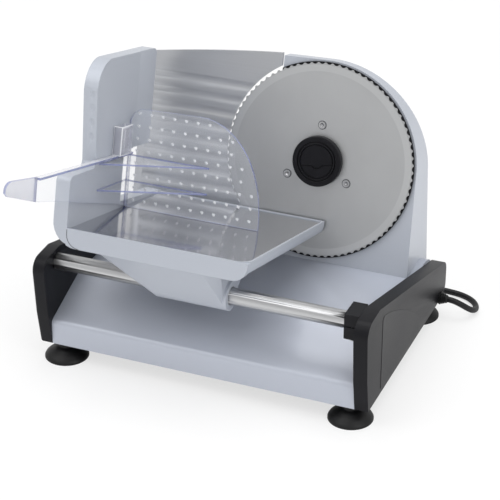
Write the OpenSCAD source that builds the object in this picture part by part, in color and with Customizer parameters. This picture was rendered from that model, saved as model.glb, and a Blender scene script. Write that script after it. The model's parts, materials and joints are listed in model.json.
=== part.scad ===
// Electric food slicer: metal base on suction feet, motor housing with a leaning blade,
// adjustable thickness plate, food carriage on a front rod and a clear food pusher.
// Millimetres. X runs along the base, +Y points to the back, Z = 0 is the table.

/* [Base] */
// Width of the metal base between the end caps
base_w = 304; // [290:1:330]
// Depth of the metal base from its front skirt to its rear wall
base_d = 232; // [228:1:245]
// Height of the base's lower edge above the table
base_bottom = 18.5; // [16:0.5:21]
// Height of the flat deck
deck_z = 65.3; // [62:0.1:68]
// Height at which the front skirt bends into the ramp
skirt_z = 44.2; // [40:0.1:48]
// Slope of the ramp behind the skirt, in degrees
ramp_angle = 21; // [17:1:28]
// Outer radius of the bend above the skirt
skirt_r = 6; // [4:0.5:9]
// Outer radius of the bend behind the deck
rear_r = 28; // [20:1:30]
// Sheet thickness of the base
sheet_t = 2; // [1.5:0.1:2.6]
// Thickness of the plate that closes the base from below
bottom_t = 1.5; // [1:0.1:2.5]
// Width of the base's inner flange, which carries the bottom plate
flange_w = 12; // [10:0.5:16]

/* [End caps] */
// Thickness of an end cap, across the machine
cap_t = 13.3; // [12:0.1:18]
// Height of an end cap at its front
cap_front_z = 112; // [109:0.5:118]
// Height of an end cap at its rear
cap_rear_z = 56; // [52:0.5:62]
// How far an end cap bulges in front of the skirt
cap_bulge = 9; // [6:0.5:12]
// How far an end cap reaches behind the base
cap_over = 3.4; // [2:0.1:6]
// Wall thickness of an end cap
cap_wall = 3; // [2:0.1:4]

/* [Suction feet] */
// Diameter of a suction foot
foot_d = 42.4; // [36:0.1:46]
// Distance of the feet's centres from the middle of the machine
foot_x = 144.3; // [130:0.1:150]
// Distance of the front feet behind the skirt
foot_front_y = 13.2; // [12:0.1:20]
// Distance of the rear feet behind the skirt
foot_rear_y = 213; // [200:0.5:218]
// Diameter of a foot's neck
foot_neck_d = 17; // [14:0.5:20]

/* [Carriage rod] */
// Diameter of the rod
rod_d = 16; // [14:0.5:18]
// Distance of the rod's axis behind the skirt
rod_y = 18; // [16:0.5:21]
// Height of the rod's axis
rod_z = 99; // [96:0.5:101]
// Depth to which the rod enters each end cap
rod_in_cap = 8; // [5:0.5:9.5]
// Length of the clamp block beside the right end cap
clamp_l = 14; // [10:0.5:20]
// Half the depth and height of the clamp block
clamp_half = 12.5; // [12:0.5:15]

/* [Blade] */
// Blade diameter over the teeth
blade_d = 190; // [180:1:194]
// Thickness of the blade
blade_t = 1; // [0.8:0.1:1.4]
// Number of teeth
tooth_n = 84; // [60:2:96]
// Depth of a tooth gap
tooth_depth = 1.6; // [1:0.1:2.4]
// Backward lean of the blade, in degrees
lean = 15.1; // [14:0.1:16]
// Distance of the blade's centre to the right of the middle
blade_x = 45.2; // [43:0.1:47]
// Distance of the blade's centre behind the skirt
blade_y = 188.9; // [187:0.1:190]
// Height of the blade's centre
blade_z = 162.7; // [160:0.1:166]
// Radius of the circle of blade screws
blade_screw_r = 35; // [32:0.5:36.5]
// Diameter of the blade's centre hole
blade_hole_d = 30; // [26:0.5:34]

/* [Blade lock] */
// Diameter of the blade lock
lock_d = 49; // [42:0.5:54]
// Height of the blade lock in front of the blade
lock_h = 7; // [5:0.5:9]
// Width of the blade lock's grip bar
lock_bar_w = 8; // [6:0.5:12]

/* [Drive] */
// Radius of the drive gear over its teeth
gear_r = 35; // [33:0.5:36]
// Number of gear teeth
gear_teeth = 44; // [30:1:60]
// Diameter of the spindle
spindle_d = 10; // [8:0.5:12]
// Radius of the worm
worm_r = 4.2; // [3.6:0.1:5]
// Diameter of the motor shaft
shaft_d = 5; // [4:0.5:6]
// Width of the motor's iron core
core_w = 42; // [38:0.5:46]
// Depth of the motor's iron core
core_d = 30; // [28:0.5:31]
// Height of the motor's iron core
core_h = 24; // [20:0.5:28]
// Radius of the armature
armature_r = 10.5; // [9:0.5:11]
// Radius of the cooling fan
fan_r = 14; // [11:0.5:14.5]

/* [Motor housing] */
// Radius of the arch
arch_r = 97; // [96:0.5:99]
// Wall thickness of the housing
wall_t = 2.5; // [2:0.1:3]
// Gap between the blade and the housing's front face
front_gap = 4; // [3.5:0.1:5]
// Distance of the housing's left side from the blade's centre
arch_left = 47; // [44:0.5:49]
// Inner radius of the gear pocket
pocket_r = 40; // [39:0.5:41.5]
// Depth of the gear pocket behind the front face
pocket_depth = 24; // [23:0.5:26]

/* [Thickness plate] */
// Left end of the thickness plate, from the middle of the machine
guide_left = -150; // [-154:1:-140]
// Slice thickness set at rest
slice_t = 8; // [4:0.5:10]
// Largest slice thickness
slice_max = 15; // [12:0.5:15]
// Thickness of the plate
guide_t = 3; // [2:0.1:4]
// Gap between the blade's teeth and the plate's edge
guide_gap = 3; // [2:0.5:5]
// Height of the plate's upper edge above the blade's centre, at the left
guide_top_left = 80; // [74:0.5:94]
// Height of the plate's upper edge above the blade's centre, at the right
guide_top_right = 97; // [86:0.5:98]
// Depth of the plate's lower edge below the blade's centre
guide_bottom = 86; // [80:0.5:88]
// Height of the first groove above the blade's centre
groove_first = 59; // [50:0.5:66]
// Distance from one groove to the next
groove_pitch = 15; // [7:0.5:20]
// Radius of a groove's round section
groove_r = 12; // [4:0.5:16]
// Depth of a groove
groove_depth = 0.8; // [0.4:0.1:1.2]
// Number of grooves
groove_n = 9; // [5:1:16]

/* [Thickness setting] */
// Distance of the setting screw to the left of the middle
set_x = -86; // [-95:1:-80]
// Depth of the setting screw below the blade's centre
set_v = 57; // [54:0.5:59]
// Diameter of the setting screw
set_screw_d = 10; // [8:0.5:12]
// Diameter of the two slide rods
slide_rod_d = 8; // [6:0.5:9]
// Distance of each slide rod from the setting screw
slide_rod_off = 30; // [28.5:0.5:33]
// Diameter of the thickness knob
knob_d = 44; // [36:0.5:48]

/* [Carriage] */
// Right edge of the tray at rest, from the middle of the machine
tray_right = 59; // [54:0.5:64]
// Inner face of the left wall at rest, from the middle of the machine
wall_in = -117; // [-120:0.5:-112]
// Thickness of the left wall
side_t = 14; // [10:0.5:16]
// Depth of the tray's surface below the blade's centre
tray_v = 58.2; // [56:0.1:60]
// Distance of the tray's front rim in front of the blade
tray_front = 206; // [198:0.5:212]
// Distance of the tray's rear edge in front of the blade
tray_back = 3; // [2:0.5:5]
// Thickness of the tray
tray_t = 10; // [8:0.5:12]
// Height of the apron under the front rim
apron_h = 17; // [15:0.5:22]
// Thickness of the steel sheet on the tray
insert_t = 1.2; // [0.8:0.1:2]
// Top of the tall part of the left wall above the blade's centre
side_top = 90; // [80:0.5:96]
// Distance of the tall part's front edge in front of the blade
side_front = 164; // [150:0.5:168]
// How far the foot of the tall part's front edge stands back
side_foot_in = 8; // [0:0.5:10]
// Distance of the tall part's rear edge in front of the blade
side_back = 38; // [36:0.5:60]
// Depth of the low part's top below the blade's centre
side_step = 10; // [6:0.5:16]
// Radius of the sleeve round the rod
sleeve_r = 14; // [13:0.5:14.5]
// Left end of the sleeve at rest
sleeve_left = -46; // [-80:0.5:-42]
// Right end of the sleeve at rest
sleeve_right = 25.5; // [22:0.5:32]
// Radial thickness of a slide bush
bush_t = 2.5; // [1.5:0.1:3]
// Length of a slide bush
bush_l = 20; // [12:0.5:26]

/* [Food pusher] */
// Distance of the pusher plate in front of the blade at rest
pusher_w = 85; // [80:0.5:95]
// Right edge of the pusher plate at its foot
pusher_right = 22; // [14:0.5:30]
// Top of the pusher plate above the blade's centre
pusher_top = 40; // [30:0.5:46]
// Wall thickness of the clear pusher
clear_t = 3; // [2:0.1:4]
// Distance from one grip spike to the next
spike_pitch = 12; // [10:0.5:15]
// Number of rows of grip spikes
spike_rows = 8; // [5:1:8]
// Length of a grip spike
spike_h = 3; // [2:0.1:4]
// Distance of the guard's crease in front of the blade
guard_crease = 277; // [277:0.5:285]
// Length of the guard's bent end
guard_end_l = 38; // [25:0.5:45]

/* [Buttons] */
// Diameter of the power button
power_d = 22; // [18:0.5:24]
// Travel of the power button
power_travel = 3; // [2:0.5:4]
// Travel of the safety slider
safety_travel = 6; // [4:0.5:7]

/* [Mains lead] */
// Diameter of the mains lead
lead_d = 6; // [5.5:0.1:6.4]

/* [Hidden] */
$fn = 64;

// Clearances, shared by every fit
running = 0.05;
loose = 0.3;
clear_of = 0.5;
eps = 0.01;
// Longer than any piece, for cuts that run right through
reach = 300;

// Case screws: head, shank, tapped hole and clearance hole
head_r = 3;
head_h = 1.6;
shank_r = 1.45;
tapped_r = shank_r + running;
through_r = shank_r + 0.15;

half_w = base_w / 2;
cap_rear_y = base_d + cap_over;

// Distances in front of the blade become local Y values, which point backwards
function back(w) = -w;

// Top of the guard at its plate and at its bent end, and the bend, in degrees
guard_top = -4;
guard_end_top = 2;
guard_end_low = -8;
guard_flare = 15;

// Middle of the assembly's depth, from the foremost corner of the guard to the end caps' rear
pusher_front = guard_crease + guard_end_l * cos(guard_flare) + clear_t * sin(guard_flare);
front_y = blade_y - pusher_front * cos(lean) + guard_end_low * sin(lean);
depth_mid = (front_y + cap_rear_y) / 2;

// Everything is drawn from the skirt and then moved so that the origin lies under the middle
module placed() {
    translate([0, -depth_mid, 0]) children();
}

// Frame of the leaning cutting parts: X as in the machine, Z up along the blade, Y behind it
module leaning() {
    placed() translate([0, blade_y, blade_z]) rotate([-lean, 0, 0]) children();
}

module at_blade() {
    leaning() translate([blade_x, 0, 0]) children();
}

// The blade's frame inside what is placed later
module in_blade_frame() {
    translate([blade_x, blade_y, blade_z]) rotate([-lean, 0, 0]) children();
}

// Round piece with its axis along Y, from y0 to y1
module disc_y(r, y0, y1) {
    translate([0, y0, 0]) rotate([-90, 0, 0]) cylinder(r = r, h = y1 - y0);
}

// Plate with an outline in X and Z, from y0 to y1
module plate_y(y0, y1) {
    translate([0, y1, 0]) rotate([90, 0, 0]) linear_extrude(height = y1 - y0) children();
}

// Round piece with its axis along X, from x0 to x1
module disc_x(r, x0, x1) {
    translate([x0, 0, 0]) rotate([0, 90, 0]) cylinder(r = r, h = x1 - x0);
}

// Plate with an outline in Y and Z, from x0 to x1
module plate_x(x0, x1) {
    translate([x0, 0, 0]) rotate([90, 0, 90]) linear_extrude(height = x1 - x0) children();
}

// Box between two corners
module block(low, high) {
    translate(low) cube(high - low);
}

// Copies at points in plan, all at one height
module at_points(points, z) {
    for (p = points) {
        translate([p[0], p[1], z]) children();
    }
}

// Cross-head screw with its head's top at z = 0 and its shank downwards
module screw(head_r, head_h, shank_r, shank_l) {
    difference() {
        union() {
            translate([0, 0, -head_h]) cylinder(r = head_r, h = head_h);
            translate([0, 0, -head_h - shank_l]) cylinder(r = shank_r, h = shank_l);
        }
        for (a = [0, 90]) {
            rotate([0, 0, a]) translate([-head_r * 0.6, -head_r * 0.12, -head_h * 0.6])
                cube([head_r * 1.2, head_r * 0.24, head_h]);
        }
    }
}

// Points of an arc in a plane
function arc(cx, cy, r, a0, a1, n = 8) =
    [for (i = [0:n]) [cx + r * cos(a0 + (a1 - a0) * i / n), cy + r * sin(a0 + (a1 - a0) * i / n)]];

// Base: skirt, ramp and deck of one bent sheet

bend_z = skirt_z - skirt_r * sin(90 + ramp_angle);

// Section of the bent sheet in Y and Z, drawn in from its outer face by an inset
function base_section(inset) =
    let (r = skirt_r - inset,
        y1 = skirt_r + r * cos(90 + ramp_angle),
        z1 = bend_z + r * sin(90 + ramp_angle),
        y2 = y1 + (deck_z - inset - z1) / tan(ramp_angle))
    concat([[inset, base_bottom - (inset > 0 ? 1 : 0)]],
        arc(skirt_r, bend_z, r, 180, 90 + ramp_angle),
        [[y2, deck_z - inset]],
        arc(base_d - rear_r, deck_z - rear_r, rear_r - inset, 90, 0, 16),
        [[base_d - inset, base_bottom - (inset > 0 ? 1 : 0)]]);

// Opening under the motor, kept clear of the housing's walls and of the deck's rear bend
motor_hole_margin = 4;
motor_hole_side = 9;
motor_hole_left = blade_x - motor_hole_side - 1;
motor_hole_right = blade_x + gear_r + worm_r + core_w / 2 + motor_hole_side;
motor_hole_rear = base_d - rear_r - motor_hole_margin;

module base_shell() {
    color([0.72, 0.74, 0.78]) placed() {
        difference() {
            plate_x(-half_w, half_w) polygon(base_section(0));
            plate_x(-half_w + sheet_t, half_w - sheet_t) polygon(base_section(sheet_t));
            block([motor_hole_left, housing_front_foot + wall_t + motor_hole_margin, deck_z - sheet_t - 1],
                [motor_hole_right, motor_hole_rear, deck_z + 1]);
            // Hole for the inner leads
            translate([0, relief_y, inner_lead_z])
                disc_x(inner_lead_r + 2 * loose, half_w - sheet_t - 1, half_w + 1);
            at_points(flange_screw_points(), base_bottom - 1) cylinder(r = tapped_r, h = flange_screw_l + 5);
            at_points(concat(block_screw_points(), housing_screw_points()), deck_z - sheet_t - 1)
                cylinder(r = through_r, h = sheet_t + 2);
            at_cap_screws() disc_x(through_r, -half_w - 1, half_w + 1);
        }
        base_flange();
    }
}

// Inner flange just above the bottom plate
module base_flange() {
    z0 = base_bottom + bottom_t;
    difference() {
        block([-half_w + sheet_t - eps, sheet_t - eps, z0],
            [half_w - sheet_t + eps, base_d - sheet_t + eps, z0 + sheet_t]);
        block([-half_w + sheet_t + flange_w, sheet_t + flange_w, z0 - 1],
            [half_w - sheet_t - flange_w, base_d - sheet_t - flange_w, z0 + sheet_t + 1]);
        at_points(flange_screw_points(), z0 - 1) cylinder(r = tapped_r, h = sheet_t + 2);
        at_points(foot_points(), z0 - 1) cylinder(r = foot_nut_r + 0.2, h = sheet_t + 2);
    }
}

flange_screw_in = 45;
flange_screw_l = 5;
function flange_screw_points() =
    [for (x = [-1, 0, 1], y = [sheet_t + flange_w / 2, base_d - sheet_t - flange_w / 2])
        [x * (half_w - flange_screw_in), y]];

foot_screw_r = 3;
foot_nut_r = foot_screw_r + 1.3;
foot_nut_h = 3;
function foot_points() =
    [for (x = [-foot_x, foot_x], y = [foot_front_y, foot_rear_y]) [x, y]];

// Cooling slots under the motor
slot_n = 7;
slot_pitch = 9;
slot_w = 4;
slot_l = 45;
slot_right = 8;
slot_rear = 30;

module bottom_plate() {
    gap = 0.2;
    color([0.30, 0.31, 0.32]) placed() difference() {
        block([-half_w + sheet_t + gap, sheet_t + gap, base_bottom],
            [half_w - sheet_t - gap, base_d - sheet_t - gap, base_bottom + bottom_t]);
        at_points(flange_screw_points(), base_bottom - 1) cylinder(r = through_r, h = bottom_t + 2);
        at_points(foot_points(), base_bottom - 1) cylinder(r = foot_screw_r, h = bottom_t + 2);
        for (i = [0:slot_n - 1]) {
            translate([blade_x + slot_right + i * slot_pitch, base_d - slot_rear - slot_l, base_bottom - 1])
                cube([slot_w, slot_l, bottom_t + 2]);
        }
    }
}

module bottom_screws() {
    color([0.6, 0.6, 0.62]) placed() at_points(flange_screw_points(), base_bottom - head_h)
        rotate([180, 0, 0]) screw(head_r, head_h, shank_r, flange_screw_l);
}

// End caps

cap_tip_r = 14;
cap_rear_r = 12;
// End of the level top behind the rounded tip, and height of the lower front's bend
cap_flat_y = 24;
cap_bend_z = 53;

function cap_section(inset) =
    let (slope = atan((cap_front_z - cap_rear_z) / (cap_rear_y - cap_flat_y - cap_rear_r / 3)))
    concat([[inset, base_bottom - (inset > 0 ? 1 : 0)], [-cap_bulge * 0.66 + inset, cap_bend_z]],
        arc(-cap_bulge + cap_tip_r, cap_front_z - cap_tip_r - 1, cap_tip_r - inset, 180, 92),
        [[cap_flat_y, cap_front_z - inset]],
        arc(cap_rear_y - cap_rear_r, cap_rear_z - cap_rear_r + 1, cap_rear_r - inset, 90 - slope, 0),
        inset > 0 ? [[cap_rear_y - inset, base_bottom - 1]]
            : arc(cap_rear_y - cap_rear_r, base_bottom + cap_rear_r, cap_rear_r, 0, -90));

cap_socket_t = 5;
cap_post_r = 5;

// One end cap, its inner face at x = 0 and its outer face at x = cap_t
module end_cap() {
    difference() {
        plate_x(0, cap_t) polygon(cap_section(0));
        difference() {
            plate_x(cap_wall, cap_t - cap_wall) polygon(cap_section(cap_wall));
            // Socket round the rod's end, and posts round the screws
            translate([0, rod_y, rod_z]) disc_x(rod_d / 2 + cap_socket_t, 0, cap_t);
            at_cap_screws() disc_x(cap_post_r, 0, cap_t);
        }
        translate([0, rod_y, rod_z]) disc_x(rod_d / 2 + running, -1, rod_in_cap);
        at_cap_screws() disc_x(tapped_r, -1, cap_t - cap_wall);
    }
}

module at_cap_screws() {
    for (p = cap_screw_points()) {
        translate([0, p[0], p[1]]) children();
    }
}

// Screws of an end cap: distance behind the skirt or in front of the rear wall, and height
cap_screw_front = [12, 34];
cap_screw_mid = [110, 40];
cap_screw_rear = [46, 40];
function cap_screw_points() =
    [cap_screw_front, cap_screw_mid, [base_d - cap_screw_rear[0], cap_screw_rear[1]]];

module end_cap_right() {
    color([0.16, 0.16, 0.17]) placed() difference() {
        translate([half_w, 0, 0]) end_cap();
        translate([0, relief_y, relief_z]) disc_x(relief_r + running, half_w - 1, half_w + cap_t + 1);
    }
}

module end_cap_left() {
    color([0.13, 0.13, 0.14]) placed() mirror([1, 0, 0]) translate([half_w, 0, 0]) end_cap();
}

// Screws from inside the base into the end caps
module cap_screws() {
    color([0.6, 0.6, 0.62]) placed() for (s = [0, 1]) {
        mirror([s, 0, 0]) at_cap_screws() translate([half_w - sheet_t - head_h, 0, 0]) rotate([0, -90, 0])
            screw(head_r, head_h, shank_r, sheet_t + cap_t - cap_wall - 1);
    }
}

// Suction feet

foot_h = base_bottom;

module suction_foot() {
    r = foot_d / 2;
    neck = foot_neck_d / 2;
    rotate_extrude() polygon([[foot_screw_r, foot_h], [neck, foot_h], [neck - 1.5, foot_h - 3],
        [neck - 1.5, foot_h - 7], [neck + 2, foot_h - 8.5], [r - 5, 6.5], [r - 1, 3], [r, 1.2], [r, 0],
        [r - 2, 0], [r - 3.5, 1.2], [r - 8, 3], [neck, 4.2], [foot_screw_r, 4.5]]);
}

module foot_at(x, y) {
    color([0.08, 0.08, 0.09]) placed() translate([x, y, 0]) suction_foot();
}

module foot_front_left() {
    foot_at(-foot_x, foot_front_y);
}

module foot_front_right() {
    foot_at(foot_x, foot_front_y);
}

module foot_rear_left() {
    foot_at(-foot_x, foot_rear_y);
}

module foot_rear_right() {
    foot_at(foot_x, foot_rear_y);
}

// Screw through each foot with its nut on the bottom plate
module foot_screws() {
    z0 = 5;
    z1 = base_bottom + bottom_t;
    color([0.6, 0.6, 0.62]) placed() {
        at_points(foot_points(), z0) cylinder(r = foot_screw_r - running, h = z1 + foot_nut_h + clear_of - z0);
        at_points(foot_points(), z1) difference() {
            cylinder(r = foot_nut_r, h = foot_nut_h, $fn = 6);
            translate([0, 0, -1]) cylinder(r = foot_screw_r - running, h = foot_nut_h + 2);
        }
    }
}

// Carriage rod and its clamp

module carriage_rod() {
    color([0.78, 0.78, 0.79]) placed() translate([0, rod_y, rod_z])
        disc_x(rod_d / 2, -half_w - rod_in_cap + 0.2, half_w + rod_in_cap - 0.2);
}

module clamp_part(z0, z1) {
    difference() {
        block([half_w - clamp_l, rod_y - clamp_half, rod_z + z0], [half_w, rod_y + clamp_half, rod_z + z1]);
        translate([0, rod_y, rod_z]) disc_x(rod_d / 2 + running, half_w - clamp_l - 1, half_w + 1);
        at_points(clamp_screw_points(), rod_z - clamp_half - 1)
            cylinder(r = clamp_shank_r + running, h = clamp_screw_l + clear_of + 1);
    }
}

function clamp_screw_points() =
    [for (s = [-1, 1]) [half_w - clamp_l / 2, rod_y + s * (rod_d / 2 + clamp_half) / 2]];
clamp_shank_r = 0.95;
clamp_head_r = 1.8;
clamp_head_h = 1.2;
clamp_screw_l = 2 * clamp_half - 4;
// Slit between the clamp's halves
clamp_slit = 0.8;

module rod_clamp_lower() {
    color([0.10, 0.10, 0.11]) placed() clamp_part(-clamp_half, -clamp_slit / 2);
}

module rod_clamp_upper() {
    color([0.12, 0.12, 0.13]) placed() clamp_part(clamp_slit / 2, clamp_half);
}

// Screws from below, which end blind in the clamp's upper half
module clamp_screws() {
    color([0.6, 0.6, 0.62]) placed() at_points(clamp_screw_points(), rod_z - clamp_half - clamp_head_h)
        rotate([180, 0, 0]) screw(clamp_head_r, clamp_head_h, clamp_shank_r, clamp_screw_l);
}

// Motor housing: an arch in the blade's frame, cut square at the back and seated on the deck

// Where the housing's front face meets the deck
housing_front_foot = blade_y + front_gap * cos(lean) - (blade_z - front_gap * sin(lean) - deck_z) * tan(lean);
// How far the housing reaches down round the deck's rear bend
housing_wrap = 14;
housing_low = deck_z - housing_wrap;
// Depth of the arch below its round part, its draft, and the fall of its top to the left
arch_leg = 30;
arch_draft = 4;
arch_fall = 1.7;

module arch_outline(inset) {
    r = arch_r - inset;
    low = -arch_r - arch_leg;
    left = -arch_left + inset;
    union() {
        intersection() {
            circle(r = r, $fn = 96);
            square([arch_r, arch_r]);
        }
        polygon([[left, low], [r + arch_draft, low], [r, 0], [0, 0], [0, r], [left, r - arch_fall]]);
    }
}

// Solid arch from a depth y0 behind the blade to far behind
module arch_solid(inset, y0) {
    in_blade_frame() plate_y(y0, reach) arch_outline(inset);
}

// Room for the housing between two depths, down to its lower edge
module housing_slab(y0, y1) {
    block([-half_w, y0, housing_low], [half_w, y1, reach]);
}

pocket_back = front_gap + pocket_depth;
worm_x = gear_r + worm_r + loose;
motor_y = front_gap + wall_t + core_d / 2;
gear_mid = motor_y;
// Worm: its length and lower end; the bearing stands above it
worm_l = 38;
worm_low = -18;
worm_room = 4;
bearing_low = worm_low + worm_l + worm_room;
bearing_h = 6;
bearing_half = 7;
spindle_boss_t = 4;
spindle_boss_l = 12;

module motor_housing() {
    color([0.76, 0.77, 0.80]) placed() {
        difference() {
            intersection() {
                arch_solid(0, front_gap);
                housing_slab(0, base_d - wall_t);
            }
            difference() {
                intersection() {
                    arch_solid(wall_t, front_gap + wall_t);
                    translate([0, 0, -1]) housing_slab(0, base_d + 1);
                }
                in_blade_frame() housing_inner();
                housing_posts();
            }
            plate_x(-half_w - 1, half_w + 1) polygon(base_section(0));
            for (p = cover_screw_points()) {
                translate([p[0], 0, p[1]]) disc_y(tapped_r, base_d - wall_t - post_bite, base_d);
            }
            at_points(housing_screw_points(), deck_z - 1) cylinder(r = tapped_r, h = post_h - 2);
            in_blade_frame() {
                disc_y(pocket_r, front_gap - 1, pocket_back);
                disc_y(spindle_d / 2, pocket_back - 1, pocket_back + spindle_boss_l + 2);
                // Window for the worm in the pocket's wall
                block([gear_r - 5, gear_mid - worm_r - 2, worm_low - worm_room],
                    [pocket_r + 6, gear_mid + worm_r + 2, bearing_low]);
                // Bearing hole above the worm
                translate([worm_x, gear_mid, bearing_low]) cylinder(r = shaft_d / 2 + running, h = 2 * bearing_h);
            }
        }
    }
}

// Posts for screws: radius, height on the deck, rib and the depth that a screw bites
post_r = 4;
post_h = 13;
post_rib = 3;
post_bite = 8;
// Distances of the deck's screws from the housing's faces and from the deck's rear bend
housing_screw_left = 8;
housing_screw_right = 7;
housing_screw_front = 11;
housing_screw_rear = 6;
function housing_screw_points() =
    [for (x = [blade_x - arch_left + housing_screw_left, blade_x + arch_r - housing_screw_right],
        y = [housing_front_foot + housing_screw_front, base_d - rear_r - housing_screw_rear]) [x, y]];

// Posts for the screws, each on the nearest side wall
module housing_posts() {
    for (p = cover_screw_points()) {
        side = p[0] < blade_x ? -2 * post_r : 2 * post_r;
        translate([p[0], 0, p[1]]) {
            disc_y(post_r, 0, base_d - wall_t);
            block([min(0, side), 0, -post_rib / 2], [max(0, side), base_d - wall_t, post_rib / 2]);
        }
    }
    for (p = housing_screw_points()) {
        side = p[0] < blade_x ? -2 * post_r - 1 : 2 * post_r + 1;
        translate([p[0], p[1], deck_z - 1]) {
            cylinder(r = post_r, h = post_h + 1);
            block([min(0, side), -post_rib / 2, 0], [max(0, side), post_rib / 2, post_h + 1]);
        }
    }
}

// Screws from under the deck into the housing
module housing_screws() {
    color([0.6, 0.6, 0.62]) placed() at_points(housing_screw_points(), deck_z - sheet_t - head_h)
        rotate([180, 0, 0]) screw(head_r, head_h, shank_r, sheet_t + post_bite);
}

// Gear pocket, spindle boss and the shaft's upper bearing
module housing_inner() {
    disc_y(pocket_r + wall_t, front_gap, pocket_back + wall_t);
    disc_y(spindle_d / 2 + spindle_boss_t, pocket_back, pocket_back + spindle_boss_l);
    block([worm_x - bearing_half, front_gap + wall_t - eps, bearing_low],
        [worm_x + bearing_half, gear_mid + bearing_half, bearing_low + bearing_h]);
}

// Cooling slots beside the motor, in the rear cover
louvre_n = 6;
louvre_pitch = 8;
louvre_h = 3.5;
louvre_w = 36;
louvre_right = 4;
louvre_up = 14;

module rear_cover() {
    color([0.74, 0.75, 0.78]) placed() difference() {
        intersection() {
            arch_solid(0, front_gap + wall_t + 1);
            housing_slab(base_d - wall_t, base_d);
        }
        // Holes for the power button and the safety slider
        translate([button_x, 0, power_z]) disc_y(power_d / 2 + loose, 0, reach);
        block([button_x - safety_w / 2 - safety_travel - clear_of, 0, safety_z - safety_h / 2 - clear_of],
            [button_x + safety_w / 2 + clear_of, reach, safety_z + safety_h / 2 + clear_of]);
        for (i = [0:louvre_n - 1]) {
            z = deck_z + louvre_up + i * louvre_pitch;
            block([blade_x + louvre_right, 0, z], [blade_x + louvre_right + louvre_w, reach, z + louvre_h]);
        }
        for (p = cover_screw_points()) {
            translate([p[0], 0, p[1]]) disc_y(through_r, 0, reach);
        }
    }
}

// Cover screws: distances from the sides, heights above the deck
cover_screw_in = 9;
cover_screw_in_top = 14;
cover_screw_low = 12;
cover_screw_left_high = 140;
cover_screw_right_high = 118;
function cover_screw_points() =
    [[blade_x - arch_left + cover_screw_in, deck_z + cover_screw_low],
        [blade_x + arch_r - cover_screw_in, deck_z + cover_screw_low],
        [blade_x - arch_left + cover_screw_in, deck_z + cover_screw_left_high],
        [blade_x + arch_r - cover_screw_in_top, deck_z + cover_screw_right_high]];

module rear_cover_screws() {
    color([0.6, 0.6, 0.62]) placed() for (p = cover_screw_points()) {
        translate([p[0], base_d + head_h, p[1]]) rotate([-90, 0, 0])
            screw(head_r, head_h, shank_r, wall_t + post_bite - 2);
    }
}

// Buttons on the rear cover

button_right = 70;
power_up = 88;
safety_down = 26;
button_x = blade_x + button_right;
power_z = deck_z + power_up;
safety_z = power_z - safety_down;
safety_w = 10;
safety_h = 12;
button_out = 3;
button_in = 3;
// Switch behind the buttons
switch_half = 14;
switch_d = 12;
switch_below = 10;
switch_above = 14;
switch_low = safety_z - switch_below;

module switch_body() {
    face = base_d - wall_t - button_in - power_travel - clear_of;
    color([0.13, 0.13, 0.14]) placed() {
        difference() {
            block([button_x - switch_half, face - switch_d, switch_low],
                [button_x + switch_half, base_d - wall_t, power_z + switch_above]);
            translate([button_x, 0, power_z]) disc_y(power_d / 2 + 1, face, base_d);
            block([button_x - safety_w / 2 - safety_travel - 1, face, safety_z - safety_h / 2 - 1],
                [button_x + safety_w / 2 + 1, base_d, safety_z + safety_h / 2 + 1]);
        }
    }
}

module power_button() {
    color([0.55, 0.56, 0.58]) placed() translate([button_x, 0, power_z]) {
        disc_y(power_d / 2, base_d - wall_t - button_in, base_d + button_out);
    }
}

module safety_slider() {
    color([0.75, 0.20, 0.14]) placed() {
        block([button_x - safety_w / 2, base_d - wall_t - button_in, safety_z - safety_h / 2],
            [button_x + safety_w / 2, base_d + button_out - 1, safety_z + safety_h / 2]);
    }
}

// Drive inside the housing, in the blade's frame

module spindle() {
    color([0.70, 0.70, 0.72]) at_blade()
        disc_y(spindle_d / 2, -lock_h + lock_face_t + clear_of, pocket_back + spindle_boss_l);
}

// Thickness of the lock's face in front of the spindle
lock_face_t = 2.5;

module motor_core() {
    color([0.45, 0.45, 0.47]) at_blade() translate([worm_x, motor_y, core_z]) difference() {
        block([-core_w / 2, -core_d / 2, -core_h / 2], [core_w / 2, core_d / 2, core_h / 2]);
        translate([0, 0, -core_h]) cylinder(r = armature_r + air_gap, h = 2 * core_h);
        for (s = [-1, 1]) {
            translate([s * (core_w / 2 - rivet_in), core_d / 2 - rivet_in, -core_h])
                cylinder(r = through_r, h = 2 * core_h);
        }
    }
}

air_gap = 0.7;
// Distance of the rivet holes from the core's sides
rivet_in = 3.75;
// Distance from the gear pocket down to the core's middle
core_down = 30;
core_z = -pocket_r - wall_t - core_down;
winding_h = 7;
winding_w = 26;
winding_t = 3.2;
winding_off = 2.4;

// Copper windings above and below the core
module motor_windings() {
    color([0.72, 0.40, 0.20]) at_blade() translate([worm_x, motor_y, core_z]) {
        for (s = [-1, 1], t = [-1, 1]) {
            translate([0, s * (armature_r + winding_off), t * (core_h / 2 + winding_h / 2)])
                cube([winding_w, winding_t, winding_h], center = true);
        }
    }
}

bridge_t = 3;
bridge_gap = 3;
bridge_half = 6;
bridge_leg = 4;
upper_bridge_z = core_z + core_h / 2 + winding_h + bridge_gap;
lower_bridge_z = core_z - core_h / 2 - winding_h - bridge_gap - bridge_t;

// Bearing bridge with two legs that stand on the core
module bridge(z0, leg_z0, leg_z1) {
    difference() {
        union() {
            block([-core_w / 2, -bridge_half, z0], [core_w / 2, bridge_half, z0 + bridge_t]);
            for (s = [-1, 1]) {
                translate([s * (core_w - bridge_leg) / 2, 0, 0])
                    block([-bridge_leg / 2, -bridge_half, leg_z0], [bridge_leg / 2, bridge_half, leg_z1]);
            }
        }
        translate([0, 0, z0 - 1]) cylinder(r = shaft_d / 2 + running, h = bridge_t + 2);
    }
}

module motor_bridge_upper() {
    color([0.62, 0.63, 0.65]) at_blade() translate([worm_x, motor_y, 0])
        bridge(upper_bridge_z, core_z + core_h / 2, upper_bridge_z + eps);
}

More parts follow.
